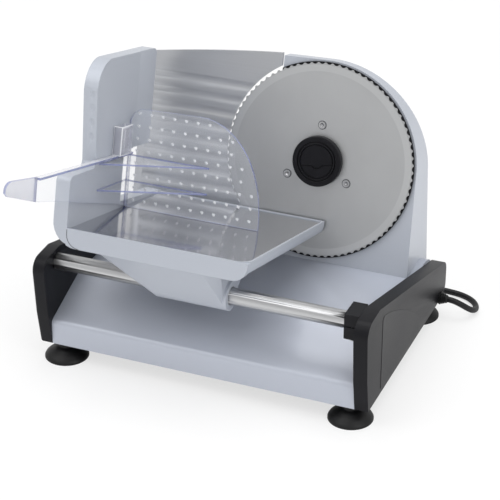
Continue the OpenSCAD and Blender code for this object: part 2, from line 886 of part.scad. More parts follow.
module motor_bridge_lower() {
    color([0.62, 0.63, 0.65]) at_blade() translate([worm_x, motor_y, 0])
        bridge(lower_bridge_z, lower_bridge_z + bridge_t - eps, core_z - core_h / 2);
}

commutator_r = 6;
brush_w = 6;
brush_d = 5;
brush_h = 5;

module brush_holders() {
    z0 = lower_bridge_z + bridge_t;
    color([0.55, 0.45, 0.25]) at_blade() translate([worm_x, motor_y, z0]) for (s = [-1, 1]) {
        translate([s * (commutator_r + loose + brush_w / 2), 0, 0])
            block([-brush_w / 2, -brush_d / 2, 0], [brush_w / 2, brush_d / 2, brush_h]);
    }
}

// How far the shaft stands out above its upper bearing
shaft_over = 3.5;

module motor_armature() {
    color([0.50, 0.50, 0.52]) at_blade() translate([worm_x, motor_y, 0]) {
        translate([0, 0, core_z - core_h / 2]) cylinder(r = armature_r, h = core_h);
        translate([0, 0, lower_bridge_z - clear_of])
            cylinder(r = shaft_d / 2, h = bearing_low + bearing_h + shaft_over + clear_of - lower_bridge_z);
        translate([0, 0, lower_bridge_z + bridge_t + clear_of]) cylinder(r = commutator_r, h = winding_h + 1);
    }
}

module worm() {
    color([0.75, 0.70, 0.55]) at_blade() translate([worm_x, gear_mid, worm_low]) difference() {
        cylinder(r = worm_r, h = worm_l);
        translate([0, 0, -1]) cylinder(r = shaft_d / 2, h = worm_l + 2);
    }
}

fan_h = 6;
fan_t = 1.2;
fan_hub_r = 5;
fan_n = 9;

// Fan between the motor and the worm
module cooling_fan() {
    z0 = upper_bridge_z + bridge_t + 1;
    color([0.85, 0.85, 0.82]) at_blade() translate([worm_x, motor_y, z0]) difference() {
        union() {
            cylinder(r = fan_hub_r, h = fan_h);
            cylinder(r = fan_r, h = fan_t);
            for (i = [0:fan_n - 1]) {
                rotate([0, 0, i * 360 / fan_n]) translate([fan_hub_r - 1, -fan_t / 2, 0])
                    cube([fan_r - fan_hub_r + clear_of, fan_t, fan_h]);
            }
        }
        translate([0, 0, -1]) cylinder(r = shaft_d / 2, h = fan_h + 2);
    }
}

// Circuit board beside the core
board_t = 1.6;
board_gap = 8;
board_front = 12;
board_rear = 14;
board_low = -80;
board_high = -40;
// Transformer and capacitor on the board
coil_box = [12.4, 14, 16];
coil_box_y = -8;
coil_box_z = -74;
can_r = 5;
can_l = 10.4;
can_z = board_high - can_r - 1;

module control_board() {
    x0 = worm_x + core_w / 2 + board_gap;
    color([0.15, 0.38, 0.22]) at_blade() {
        block([x0, motor_y - board_front, board_low], [x0 + board_t, motor_y + board_rear, board_high]);
        translate([x0 + board_t - eps, motor_y + coil_box_y, coil_box_z]) cube(coil_box);
        translate([0, motor_y, can_z]) disc_x(can_r, x0 + board_t - eps, x0 + board_t + can_l);
        // Foot that carries the board on the housing's front wall
        block([x0, front_gap + wall_t, board_low + 18], [x0 + board_t, motor_y - board_front + eps, board_low + 30]);
    }
}

inner_lead_r = 1.5;
inner_lead_z = 24.6;
// Gap between the motor's core and the leads
lead_gap = 4;
// Distances of the leads from the rear wall, at the deck and at the switch
lead_rise = 37;
lead_end = 17;

// Leads from the strain relief through the base and up beside the motor to the switch
module inner_leads() {
    x = blade_x + worm_x + core_w / 2 + lead_gap;
    route = [[half_w + 1, relief_y, inner_lead_z], [half_w - 3, relief_y, inner_lead_z],
        [half_w - 9, relief_y - 1, 28], [half_w - 22, relief_y - 8, 33], [x + 7, base_d - lead_rise, 44],
        [x, base_d - lead_rise, deck_z - 6], [x, base_d - lead_rise + 4, deck_z + 10],
        [x, base_d - lead_end - 3, switch_low - 12], [x, base_d - lead_end, switch_low - 5],
        [x, base_d - lead_end, switch_low]];
    color([0.45, 0.25, 0.12]) placed() tube(route, inner_lead_r, 8, [0, 1, 0]);
}

// Blade, gear and lock

bevel_w = 8;
gear_flange_t = 3;

// The three blade screws, one at the top
module at_blade_screws() {
    for (i = [0:2]) {
        rotate([0, -90 + 120 * i, 0]) translate([blade_screw_r, 0, 0]) children();
    }
}

// Outline of the blade with scalloped teeth
module blade_outline() {
    difference() {
        circle(r = blade_d / 2, $fn = 2 * tooth_n);
        for (i = [0:tooth_n - 1]) {
            rotate(i * 360 / tooth_n) translate([blade_d / 2 + tooth_depth, 0]) circle(r = tooth_depth * 2, $fn = 14);
        }
    }
}

module blade() {
    r = blade_d / 2;
    color([0.72, 0.72, 0.71]) at_blade() difference() {
        plate_y(-blade_t / 2, blade_t / 2) blade_outline();
        disc_y(blade_hole_d / 2, -blade_t, blade_t);
        at_blade_screws() disc_y(through_r + 0.2, -blade_t, blade_t);
        // Ground bevel on the front
        translate([0, -blade_t / 2 - 3, 0]) rotate([-90, 0, 0]) difference() {
            cylinder(r = r + 2, h = 3.5);
            translate([0, 0, -1]) cylinder(r = r - bevel_w, h = 6);
            translate([0, 0, 3]) cylinder(r1 = r - bevel_w, r2 = r + 4, h = 0.8);
        }
    }
}

module gear_tooth_ring() {
    tooth_h = 3;
    foot = 1.6;
    tip = 0.7;
    for (i = [0:gear_teeth - 1]) {
        rotate(i * 360 / gear_teeth)
            polygon([[gear_r - tooth_h, -foot], [gear_r, -tip], [gear_r, tip], [gear_r - tooth_h, foot]]);
    }
}

// Half the gear's face width, the step down to its drum, and walls
gear_half = 5;
drum_step = 8;
drum_t = 3;
hub_t = 5;

module drive_gear() {
    f = blade_t / 2;
    color([0.90, 0.88, 0.82]) at_blade() difference() {
        union() {
            disc_y(pocket_r - 1.5, f, f + gear_flange_t);
            disc_y(gear_r - drum_step, f, gear_mid - gear_half);
            plate_y(gear_mid - gear_half, gear_mid + gear_half) {
                circle(r = gear_r - 2.5);
                gear_tooth_ring();
            }
        }
        disc_y(spindle_d / 2 + running, 0, gear_mid + 2 * gear_half);
        // Socket for the blade lock
        disc_y(blade_hole_d / 2 + running, 0, lock_stub_l + loose);
        // Hollow behind the flange, round the hub
        difference() {
            disc_y(gear_r - drum_step - drum_t, lock_stub_l + loose + drum_t, gear_mid + 2 * gear_half);
            disc_y(spindle_d / 2 + hub_t, 0, gear_mid + 3 * gear_half);
        }
        at_blade_screws() disc_y(tapped_r, 0, gear_flange_t + 2);
    }
}

blade_head_r = 3.5;
blade_head_h = 1;

module blade_screws() {
    color([0.75, 0.75, 0.76]) at_blade() at_blade_screws()
        translate([0, -blade_t / 2 - blade_head_h, 0]) rotate([90, 0, 0])
            screw(blade_head_r, blade_head_h, shank_r, gear_flange_t + blade_t - 0.2);
}

lock_stub_l = 7;
lock_rim = 5.5;
lock_dish = 2;

module blade_lock() {
    f = -blade_t / 2;
    r = lock_d / 2;
    color([0.09, 0.09, 0.10]) at_blade() difference() {
        union() {
            disc_y(r, f - lock_h, f - 0.1);
            disc_y(blade_hole_d / 2 - running, f - 0.2, lock_stub_l);
        }
        // Round dish with the grip bar left standing in it
        difference() {
            disc_y(r - lock_rim, f - lock_h - 1, f - lock_h + lock_dish);
            block([-r, f - lock_h - 1, -lock_bar_w], [r, f - lock_h + lock_dish, 0]);
        }
        disc_y(spindle_d / 2 + running, -lock_h + lock_face_t, lock_stub_l + 1);
    }
}

// Thickness plate, its setting and its knob, in the leaning frame

guide_face = slice_t;
guide_rear = slice_t + guide_t;
guide_right = blade_x - arch_left - guide_gap;
guide_carrier_t = 4;
// Room between the carrier and the mechanism block at the largest slice thickness
carrier_gap = 3;
block_front = guide_rear + guide_carrier_t + (slice_max - slice_t) + carrier_gap;
block_t = 18;
block_back = block_front + block_t;
guide_corner_r = 12;
// Share of the top edge's fall that is straight; the rest grows towards the left
guide_straight = 0.66;

// Top edge of the plate, from its right end to its left corner
function guide_top_edge(n = 10) =
    let (span = guide_right - guide_left - guide_corner_r, fall = guide_top_right - guide_top_left)
    [for (i = [0:n]) let (t = i / n)
        [guide_right - span * t, guide_top_right - fall * (guide_straight * t + (1 - guide_straight) * t * t)]];

module guide_outline() {
    r = guide_corner_r;
    difference() {
        polygon(concat(guide_top_edge(),
            arc(guide_left + r, guide_top_left - r, r, 99, 180),
            arc(guide_left + r, -guide_bottom + r, r, 180, 270),
            [[guide_right, -guide_bottom]]));
        translate([blade_x, 0]) circle(r = blade_d / 2 + guide_gap, $fn = 120);
    }
}

// Border of the plate that the grooves leave at its left
groove_border = 8;

module guide_plate() {
    color([0.70, 0.71, 0.74]) leaning() difference() {
        plate_y(guide_face, guide_rear) guide_outline();
        for (i = [0:groove_n - 1]) {
            translate([0, guide_face + groove_depth - groove_r, groove_first - i * groove_pitch])
                disc_x(groove_r, guide_left + groove_border, guide_right + 1);
        }
    }
}

// Carrier behind the plate: its margin round the rods and half its height
carrier_margin = 5;
carrier_half = 15;

module guide_carrier() {
    w = slide_rod_off + slide_rod_d / 2 + carrier_margin;
    y1 = guide_rear + guide_carrier_t;
    color([0.18, 0.18, 0.19]) leaning() difference() {
        block([set_x - w, guide_rear, -set_v - carrier_half], [set_x + w, y1, -set_v + carrier_half]);
        for (s = [-1, 1]) {
            translate([set_x + s * slide_rod_off, 0, -set_v]) disc_y(slide_rod_d / 2, guide_rear + 1, y1 + 1);
        }
        translate([set_x, 0, -set_v]) disc_y(set_screw_d / 2, guide_rear + 1, y1 + 1);
        for (p = guide_screw_points()) {
            translate([p[0], 0, p[1]]) disc_y(through_r, guide_rear - 1, y1 + 1);
        }
    }
}

guide_screw_x = 14;
guide_screw_v = 10;
function guide_screw_points() =
    [for (x = [-1, 1], z = [-1, 1]) [set_x + x * guide_screw_x, -set_v + z * guide_screw_v]];

module guide_screws() {
    color([0.6, 0.6, 0.62]) leaning() for (p = guide_screw_points()) {
        translate([p[0], guide_rear + guide_carrier_t + head_h, p[1]]) rotate([-90, 0, 0])
            screw(head_r, head_h, shank_r, guide_carrier_t);
    }
}

// How far the rods and the setting screw stand out behind the block
slide_rod_over = 10;
set_screw_over = 3;

module slide_rods() {
    color([0.78, 0.78, 0.79]) leaning() for (s = [-1, 1]) {
        translate([set_x + s * slide_rod_off, 0, -set_v])
            disc_y(slide_rod_d / 2, guide_rear + 1, block_back + slide_rod_over);
    }
}

module setting_screw() {
    color([0.65, 0.65, 0.67]) leaning() translate([set_x, 0, -set_v])
        disc_y(set_screw_d / 2, guide_rear + 1, block_back + set_screw_over);
}

block_margin = 6;
block_above = 14;
hub_seat = 8;
block_bite = 6;

// Mechanism block: stands on the deck behind the plate
module thickness_block() {
    w = slide_rod_off + slide_rod_d / 2 + block_margin;
    color([0.15, 0.15, 0.16]) difference() {
        intersection() {
            leaning() block([set_x - w, block_front, -reach], [set_x + w, block_back, -set_v + block_above]);
            placed() block([-half_w, 0, deck_z], [half_w, base_d, reach]);
        }
        leaning() {
            for (s = [-1, 1]) {
                translate([set_x + s * slide_rod_off, 0, -set_v])
                    disc_y(slide_rod_d / 2 + running, block_front - 1, block_back + 1);
            }
            translate([set_x, 0, -set_v]) {
                disc_y(set_screw_d / 2 + loose, block_front - 1, block_back + 1);
                disc_y(knob_hub_r + running, block_back - hub_seat, block_back + 1);
            }
        }
        placed() at_points(block_screw_points(), deck_z - 1) cylinder(r = tapped_r, h = block_bite + 3);
    }
}

knob_hub_r = set_screw_d / 2 + 4;

// Distance of the block's screws behind the middle of its foot
block_screw_back = 6;

function block_foot_y() =
    let (y = (block_front + block_back) / 2, v = -(blade_z - deck_z) / cos(lean) - y * tan(lean))
    blade_y + y * cos(lean) + v * sin(lean) + block_screw_back;

function block_screw_points() =
    [for (s = [-1, 1]) [set_x + s * slide_rod_off, block_foot_y()]];

module block_screws() {
    color([0.6, 0.6, 0.62]) placed() at_points(block_screw_points(), deck_z - sheet_t - head_h)
        rotate([180, 0, 0]) screw(head_r, head_h, shank_r, sheet_t + block_bite);
}

module thickness_knob() {
    r = knob_d / 2;
    k0 = block_back + clear_of;
    color([0.10, 0.10, 0.11]) leaning() translate([set_x, 0, -set_v]) difference() {
        union() {
            disc_y(knob_hub_r, block_back - 7.5, k0 + eps);
            disc_y(r, k0, k0 + 4);
            disc_y(r - 3, k0 + 3, k0 + 13);
        }
        disc_y(set_screw_d / 2 + running, block_back - 8, k0 + 11.5);
        for (i = [0:17]) {
            rotate([0, i * 20, 0]) translate([r - 2.2, 0, 0]) disc_y(1.3, k0 + 4.6, k0 + 14);
        }
    }
}

// Carriage, in the leaning frame; distances w in front of the blade are negative Y

side_out = wall_in - side_t;
tray_low = tray_v + tray_t;
body_low = tray_v + apron_h;

// Notch behind the wall's foot, which leaves room for the thickness plate's front
notch_w = 95;
notch_v = -3;
// Radii of the wall's upper front corner and of its small corners
side_corner_r = 28;
side_small_r = 6;

// Side view of the left wall: the first number is the distance in front of the blade
module side_outline() {
    c = side_corner_r;
    r = side_small_r;
    polygon(concat(
        [[tray_back, -body_low + r], [tray_front - r - 2, -body_low]],
        arc(tray_front - r - 2, -body_low + r + 2, r + 2, 270, 360),
        arc(tray_front - r, -side_step - r, r, 0, 90),
        [[side_front - side_foot_in + 2, -side_step], [side_front - side_foot_in, -side_step + r]],
        arc(side_front - c, side_top - c, c, 0, 90, 12),
        arc(side_back + r, side_top - r, r, 90, 180),
        [[side_back, notch_v], [notch_w, notch_v], [notch_w, -tray_v + 6], [tray_back, -tray_v + 2]]));
}

// Radii of the carriage's lower corners, at the left wall and under the tray
body_corner_r = 24;
tray_corner_r = 13;

// Front view of everything that the carriage's lower left corner rounds off
module corner_outline() {
    r = body_corner_r;
    c = tray_corner_r + 1;
    polygon(concat(arc(side_out + r, -body_low + r, r, 180, 270),
        arc(tray_right - c, -body_low + c, c, 270, 360),
        [[tray_right, reach], [side_out, reach]]));
}

sleeve_w = -((rod_y - blade_y) * cos(lean) - (rod_z - blade_z) * sin(lean));
sleeve_v = (rod_y - blade_y) * sin(lean) + (rod_z - blade_z) * cos(lean);
bush_r = rod_d / 2 + running + bush_t;
shell_t = 3;
floor_low = tray_low + shell_t;
// Bore round the rod between the bushes, and the shoulder in front of each bush
rod_room = 0.8;
bush_in = 2;
// Keel: how far it reaches past the sleeve, its depth and the cut at its right front corner
keel_reach = 53;
keel_left = sleeve_left - keel_reach;
keel_right = sleeve_right - 1.5;
keel_w0 = 100;
keel_w1 = tray_front - 10;
keel_cut = 15;
// Flat on the inner face along the wall's rear edge
facet_w = 75;
facet_d = 1.5;
// Opening from the wall to the space under the floor
duct_w0 = 30;
duct_w1 = 150;
duct_h = 8;

// Left wall, floor, keel and sleeve: one hollow moulding
module carriage_body() {
    color([0.74, 0.76, 0.80]) leaning() difference() {
        union() {
            intersection() {
                side_wall(side_out, wall_in) side_outline();
                plate_y(back(tray_front) - 1, 0) corner_outline();
            }
            translate([0, 0, -floor_low]) linear_extrude(height = shell_t) keel_plan(0, wall_in - eps, floor_w0);
            keel_hull(0, -floor_low + eps);
        }
        // Hollow of the wall, open under the tray
        side_wall(side_out + shell_t, wall_in - shell_t) side_hollow();
        block([wall_in - shell_t - 1, back(duct_w1), -floor_low - duct_h], [wall_in + 1, back(duct_w0), -floor_low]);
        translate([0, 0, notch_v - 1]) linear_extrude(height = reach)
            polygon([[wall_in - facet_d, back(facet_w)], [wall_in, back(side_back)], [wall_in + 1, back(side_back)],
                [wall_in + 1, back(facet_w)]]);
        // Hollow of the keel, open under the tray, round the sleeve
        difference() {
            keel_hull(shell_t, -tray_low + 1);
            translate([0, back(sleeve_w), sleeve_v]) disc_x(sleeve_r, sleeve_left, sleeve_right);
        }
        translate([0, back(sleeve_w), sleeve_v]) {
            disc_x(rod_d / 2 + rod_room, keel_left - 1, sleeve_right + 1);
            for (x = bush_ends) {
                disc_x(bush_r, x, x + bush_l);
            }
        }
        at_points(tray_screw_points(), -floor_low - 1) cylinder(r = tapped_r, h = shell_t + 2);
    }
}

floor_w0 = 20;
bush_ends = [sleeve_left + bush_in, sleeve_right - bush_in - bush_l];

// Plan of the floor and the keel with its cut corner, drawn in by an inset
module keel_plan(inset, left, w0) {
    cut = keel_cut - inset * (2 - sqrt(2));
    right = keel_right - inset;
    front = keel_w1 - inset;
    polygon([[left, back(front)], [right - cut, back(front)], [right, back(front - cut)], [right, back(w0)],
        [left, back(w0)]]);
}

// Outline in the wall's side view, drawn through from x0 to x1
module side_wall(x0, x1) {
    translate([x0, 0, 0]) rotate([90, 0, 90]) linear_extrude(height = x1 - x0) mirror([1, 0]) children();
}

// Hollow of the left wall: low part and tall part
module side_hollow() {
    t = shell_t;
    back_w = notch_w + t + 4;
    low = -body_low + body_corner_r - 8;
    front = side_front - side_foot_in - t;
    union() {
        polygon([[back_w, low], [tray_front - 12, low], [tray_front - t, low + 14],
            [tray_front - t, -side_step - 10], [tray_front - 10, -side_step - t], [back_w, -side_step - t]]);
        polygon([[back_w, -side_step - t - 1], [front, -side_step - t - 1], [front, -side_step + side_small_r],
            [side_front - t - 1, side_top - side_corner_r], [side_front - side_corner_r, side_top - t - 2],
            [side_back + 12, side_top - t - 2], [side_back + t + 1, side_top - 14],
            [side_back + t + 1, notch_v + t + 2], [back_w, notch_v + t + 2]]);
        polygon([[duct_w0 + 2, -floor_low - duct_h + 2], [duct_w1 - 2, -floor_low - duct_h + 2],
            [duct_w1 - 2, -tray_v + 2], [notch_w + 1, -tray_v + 2], [duct_w0 + 2, -tray_v - 1]]);
        polygon([[back_w, low], [duct_w1 - 10, low], [duct_w1 - 10, -tray_low - 6], [back_w, -tray_low - 6]]);
    }
}

// Boat-shaped keel from the floor down to the sleeve round the rod, drawn in by an inset
module keel_hull(inset, top) {
    hull() {
        translate([0, 0, top - 1]) linear_extrude(height = 1)
            keel_plan(inset, keel_left + inset, keel_w0 + inset);
        translate([0, back(sleeve_w), sleeve_v])
            disc_x(sleeve_r - inset, sleeve_left + inset, keel_right - 2 - inset, $fn = 32);
    }
    if (inset == 0) {
        translate([0, back(sleeve_w), sleeve_v]) disc_x(sleeve_r, sleeve_left, sleeve_right);
    }
}

// Tray with its rim and apron, ribbed from below
module carriage_tray() {
    pocket_top = -tray_v - insert_t - sheet_rest;
    color([0.76, 0.78, 0.82]) leaning() difference() {
        intersection() {
            union() {
                translate([0, 0, -tray_low]) linear_extrude(height = tray_t + 1) tray_outline(0);
                plate_y(back(tray_front), back(tray_front - apron_t)) apron_outline();
            }
            plate_y(back(tray_front) - 1, 0) corner_outline();
        }
        // Seat of the steel sheet
        translate([0, 0, -tray_v - insert_t]) linear_extrude(height = reach) tray_outline(tray_rim);
        // Pockets between the ribs, round the screws' bosses
        difference() {
            for (i = [0:2], j = [0:3]) {
                block([pocket_x(i), back(pocket_w(j + 1) - rib_t), -tray_low - 1],
                    [pocket_x(i + 1) - rib_t, back(pocket_w(j)), pocket_top]);
            }
            at_points(tray_screw_points(), -tray_low - 2) cylinder(r = post_r, h = tray_t);
        }
        at_points(tray_screw_points(), -tray_low - 1) cylinder(r = tapped_r, h = tray_t - insert_t - 1);
    }
}

// Walls and ribs of the tray
apron_t = 8;
tray_rim = 2;
sheet_rest = 2.5;
rib_t = 3;
tray_edge = 4;

// Left and front edges of the pockets under the tray
function pocket_x(i) = wall_in + tray_edge + i * (tray_right - wall_in - tray_edge) / 3;
function pocket_w(i) = tray_back + tray_edge + i * (tray_front - tray_back - apron_t - tray_edge - 2) / 4;

// Screws under two ribs, at two distances behind the keel
tray_screw_back = [60, 12];
function tray_screw_points() =
    [for (i = [1, 2], b = tray_screw_back) [pocket_x(i) - rib_t / 2, back(keel_w0 - b)]];

// Plan of the tray, drawn in by an inset; an inset outline runs into the left wall
module tray_outline(inset) {
    r = tray_corner_r;
    left = inset > 0 ? wall_in - 1 : wall_in;
    polygon(concat([[left, back(tray_back + inset)], [left, back(tray_front - inset)]],
        arc(tray_right - r, back(tray_front - r), r - inset, 270, 360),
        [[tray_right - inset, back(tray_back + inset)]]));
}

module apron_outline() {
    r = tray_corner_r;
    polygon(concat([[wall_in, -tray_v], [wall_in, -body_low]],
        arc(tray_right - r, -body_low + r, r, 270, 360),
        [[tray_right, -tray_v]]));
}

module tray_sheet() {
    color([0.82, 0.82, 0.83]) leaning() intersection() {
        translate([0, 0, -tray_v - insert_t]) linear_extrude(height = insert_t) tray_outline(tray_rim + 0.2);
        block([wall_in + 0.1, -reach, -reach], [tray_right, 0, 0]);
    }
}

module tray_screws() {
    color([0.6, 0.6, 0.62]) leaning() at_points(tray_screw_points(), -floor_low - head_h)
        rotate([180, 0, 0]) screw(head_r, head_h, shank_r, shell_t + post_bite - 2);
}

module slide_bushes() {
    color([0.88, 0.87, 0.80]) leaning() translate([0, back(sleeve_w), sleeve_v]) {
        for (x = bush_ends) {
            difference() {
                disc_x(bush_r, x, x + bush_l);
                disc_x(rod_d / 2 + running, x - 1, x + bush_l + 1);
            }
        }
    }
}

leg_x0 = -86;
leg_x1 = -66;
leg_w0 = 32;
leg_w1 = 50;
shoe_t = 6;
// How far the shoe stands out in front of and behind the leg
shoe_front = 2;
shoe_rear = 4;

// Leg under the tray that keeps the carriage from turning on the rod
module glide_leg() {
    foot_z = deck_z + loose + shoe_t;
    color([0.14, 0.14, 0.15]) intersection() {
        leaning() block([leg_x0, back(leg_w1), -reach], [leg_x1, back(leg_w0), -floor_low]);
        placed() block([-half_w, 0, foot_z], [half_w, base_d, reach]);
    }
}

module glide_shoe() {
    z0 = deck_z + loose;
    y0 = blade_y + back(leg_w1) * cos(lean) - (blade_z - z0) * tan(lean);
    color([0.88, 0.87, 0.80]) placed()
        block([leg_x0, y0 - shoe_front, z0], [leg_x1, y0 + leg_w1 - leg_w0 + shoe_rear, z0 + shoe_t]);
}

// Clear food pusher: spiked plate, two gussets and the long guard along the left wall

pusher_left = wall_in + loose;
pusher_foot = -tray_v + loose;

module pusher_outline() {
    r = pusher_top - pusher_foot;
    top_x = -45;
    polygon(concat([[pusher_left, pusher_foot], [pusher_right, pusher_foot]],
        [for (a = [8:8:82]) [top_x + (pusher_right - top_x) * cos(a), pusher_foot + r * pow(sin(a), 0.92)]],
        [[top_x, pusher_top], [pusher_left + 10, pusher_top - 2], [pusher_left, pusher_top - 14]]));
}

// Number of spikes that fit in a row at a height above the plate's foot
function spike_count(v) = floor((pusher_width_at(v) - 14) / spike_pitch);

function pusher_width_at(v) =
    let (r = pusher_top - pusher_foot, s = min(1, (v - pusher_foot) / r))
    (-45 + (pusher_right + 45) * sqrt(1 - s * s)) - pusher_left;

module pusher() {
    y0 = back(pusher_w + clear_t);
    y1 = back(pusher_w);
    color([0.80, 0.86, 0.95, 0.45]) leaning() {
        plate_y(y0, y1) pusher_outline();
        for (j = [0:spike_rows - 1]) {
            v = pusher_foot + 7 + j * spike_pitch;
            for (i = [0:spike_count(v)]) {
                translate([pusher_left + 8 + i * spike_pitch, y1 - eps, v]) rotate([-90, 0, 0])
                    cylinder(r1 = 1.2, r2 = 0.4, h = spike_h, $fn = 6);
            }
        }
        guard();
        for (v = gusset_at) {
            gusset(v);
        }
    }
}

// Guard along the left wall, tapering towards its bent end
module guard() {
    translate([pusher_left, 0, 0]) rotate([90, 0, 90]) linear_extrude(height = clear_t) mirror([1, 0])
        polygon([[pusher_w, pusher_foot], [pusher_w + 14, pusher_foot + 4], [guard_crease - 42, -27],
            [guard_crease, -20], [guard_crease, guard_end_top], [pusher_w, guard_top]]);
    // Narrow ledge on the guard's upper edge
    translate([pusher_left, 0, 0]) rotate([90, 0, 90]) linear_extrude(height = 6) mirror([1, 0])
        polygon([[pusher_w, guard_top - 2.5], [pusher_w, guard_top], [guard_crease, guard_end_top],
            [guard_crease, guard_end_top - 2.5]]);
    // Bent end, rooted in the straight part
    translate([pusher_left, back(guard_crease), 0]) rotate([0, 0, -guard_flare]) rotate([90, 0, 90])
        linear_extrude(height = clear_t) mirror([1, 0])
        polygon(concat([[-1, -20], [guard_end_l - 3, guard_end_low - 3], [guard_end_l, guard_end_low]],
            arc(guard_end_l - 8, guard_end_top - 8, 8, 0, 90), [[-1, guard_end_top]]));
}

gusset_at = [-8, -33];
gusset_w = 85;
gusset_l = 65;
gusset_t = 2;

// Triangular rib between the plate and the guard
module gusset(v) {
    x = pusher_left + eps;
    y = back(pusher_w + clear_t - eps);
    translate([0, 0, v]) linear_extrude(height = gusset_t)
        polygon([[x, y], [x + gusset_w, y], [x, back(pusher_w + gusset_l)]]);
}

// Height of the guard's upper edge at a distance in front of the blade
function guard_top_at(w) = guard_top + (guard_end_top - guard_top) * (w - pusher_w) / (guard_crease - pusher_w);

// Clear hook on the guard's ledge that steadies the guard against the wall
module pusher_clip() {
    w0 = pusher_w + 14;
    w1 = pusher_w + 38;
    top = 25;
    color([0.80, 0.86, 0.95, 0.45]) leaning() difference() {
        side_wall(pusher_left, pusher_left + 9)
            polygon([[w0, guard_top_at(w0)], [w1, guard_top_at(w1)], [w1, top], [w0, top]]);
        block([pusher_left + 2, back(w1 - 2), guard_top - 1], [pusher_left + 7, back(w0 + 2), top - 2]);
    }
}

// Mains lead: strain relief, free run, coil and plug

relief_y = base_d - 15;
relief_z = 21.5;
relief_r = 5;
relief_out = 8;
lead_r = lead_d / 2;

module strain_relief() {
    x0 = half_w + 1;
    x1 = half_w + cap_t;
    color([0.08, 0.08, 0.09]) placed() translate([0, relief_y, relief_z]) {
        disc_x(relief_r, x0, x1 + eps);
        translate([x1, 0, 0]) rotate([0, 90, 0]) cylinder(r1 = 6.4, r2 = lead_r + 0.9, h = relief_out);
    }
}

// Route of the free run, from the skirt's frame, as chosen by hand
lead_points = [[173.3, 217, 21.5], [179, 217, 21], [184, 218, 19], [188.5, 220, 16], [192, 223, 12.5],
    [194.8, 227, 9], [196.4, 232, 6.2], [196.8, 238, 4.2], [195.6, 244, 3.2], [192.6, 250, 3], [188, 255, 3],
    [181, 259.5, 3], [172, 262.5, 3], [160, 264, 3], [146, 264, 3], [130, 263, 3], [112, 262, 3],
    [94, 261.5, 3], [76, 261.3, 3], [58, 261.3, 3], [46, 261.3, 3]];

module power_cord() {
    color([0.07, 0.07, 0.08]) placed() tube(lead_points, lead_r, 8);
}

// Coil: two layers, spiralling in on the table and out again on top, then down beside itself to the plug
coil_x = 40;
coil_y = 302;
coil_out = 40.7;
coil_step = lead_d + 0.6;
coil_loops = 2.25;
coil_rings = 24;
coil_rise = lead_d + 0.5;
coil_turns = 2 * coil_loops + 1;
// How far the half turn between the layers is drawn in
climb_in = 1.6;
plug_half = 6.4;

// Centre line of the coil after t turns
function coil_point(t) =
    let (inward = min(t, coil_loops),
        climb = min(max(t - coil_loops, 0) / 0.5, 1),
        outward = min(max(t - coil_loops - 0.5, 0), coil_loops),
        tail = max(t - 2 * coil_loops - 0.5, 0) / 0.5,
        r = coil_out + coil_step * (outward - inward) + (coil_step + 0.4) * min(1, tail / 0.6)
            - climb_in * sin(180 * climb),
        z = lead_r + coil_rise * climb + (plug_half + 0.1 - lead_r - coil_rise) * max(0, (tail - 0.3) / 0.7),
        a = -90 - 360 * t)
    [coil_x + r * cos(a), coil_y + r * sin(a), z];

coil_n = round(coil_turns * coil_rings);
coil_end = coil_point(coil_turns);
coil_path = concat([[coil_x + lead_d, coil_y - coil_out, lead_r]],
    [for (i = [0:coil_n]) coil_point(i / coil_rings)],
    [coil_end + [lead_d, 0, 0]]);

// Least distance between turns that are not neighbours along the tube
coil_gap = min([for (i = [0:coil_n - 8], j = [i + 8:coil_n]) norm(coil_path[i] - coil_path[j])]) - lead_d;
echo("least gap of the cord coil to itself", coil_gap);

// Whole length of the lead, from the strain relief to the plug
function path_length(p) = [for (i = [1:len(p) - 1]) norm(p[i] - p[i - 1])] * [for (i = [1:len(p) - 1]) 1];
echo("length of the free run and of the coil", path_length(lead_points), path_length(coil_path));

module cord_coil() {
    color([0.07, 0.07, 0.08]) placed() tube(coil_path, lead_r, 6);
}

plug_l = 34;
pin_off = 9.5;

module plug_body() {
    p = coil_path[len(coil_path) - 1];
    color([0.08, 0.08, 0.09]) placed() translate(p) {
        hull() {
            block([0, -5, -4.5], [12, 5, 4.5]);
            block([14, -12, -plug_half], [plug_l, 12, plug_half]);
        }
    }
}

module plug_pins() {
    p = coil_path[len(coil_path) - 1];
    color([0.75, 0.75, 0.76]) placed() for (s = [-1, 1]) {
        translate(p + [0, s * pin_off, 0]) disc_x(2, plug_l, plug_l + 19);
    }
}

// Tube with flat ends along a list of points, its rings square to the path
function path_dir(p, i) =
    let (a = p[max(i - 1, 0)], b = p[min(i + 1, len(p) - 1)]) (b - a) / norm(b - a);

function ring_point(c, d, r, a, top) =
    let (side = cross(d, top) / norm(cross(d, top)), up = cross(side, d))
    c + r * (cos(a) * side + sin(a) * up);

// The rings' upper side faces a direction that the path never takes
module tube(p, r, sides, top = [0, 0, 1]) {
    n = len(p);
    first_corner = 180 / sides - 90;
    points = [for (i = [0:n - 1], j = [0:sides - 1])
        ring_point(p[i], path_dir(p, i), r, first_corner + j * 360 / sides, top)];
    first = [for (j = [1:sides - 2]) [0, j + 1, j]];
    end = (n - 1) * sides;
    last = [for (j = [1:sides - 2]) [end, end + j, end + j + 1]];
    skin = [for (i = [0:n - 2], j = [0:sides - 1])
        let (a = i * sides + j, b = i * sides + (j + 1) % sides)
        each [[a, b, b + sides], [a, b + sides, a + sides]]];
    polyhedron(points = points, faces = concat(first, last, skin));
}

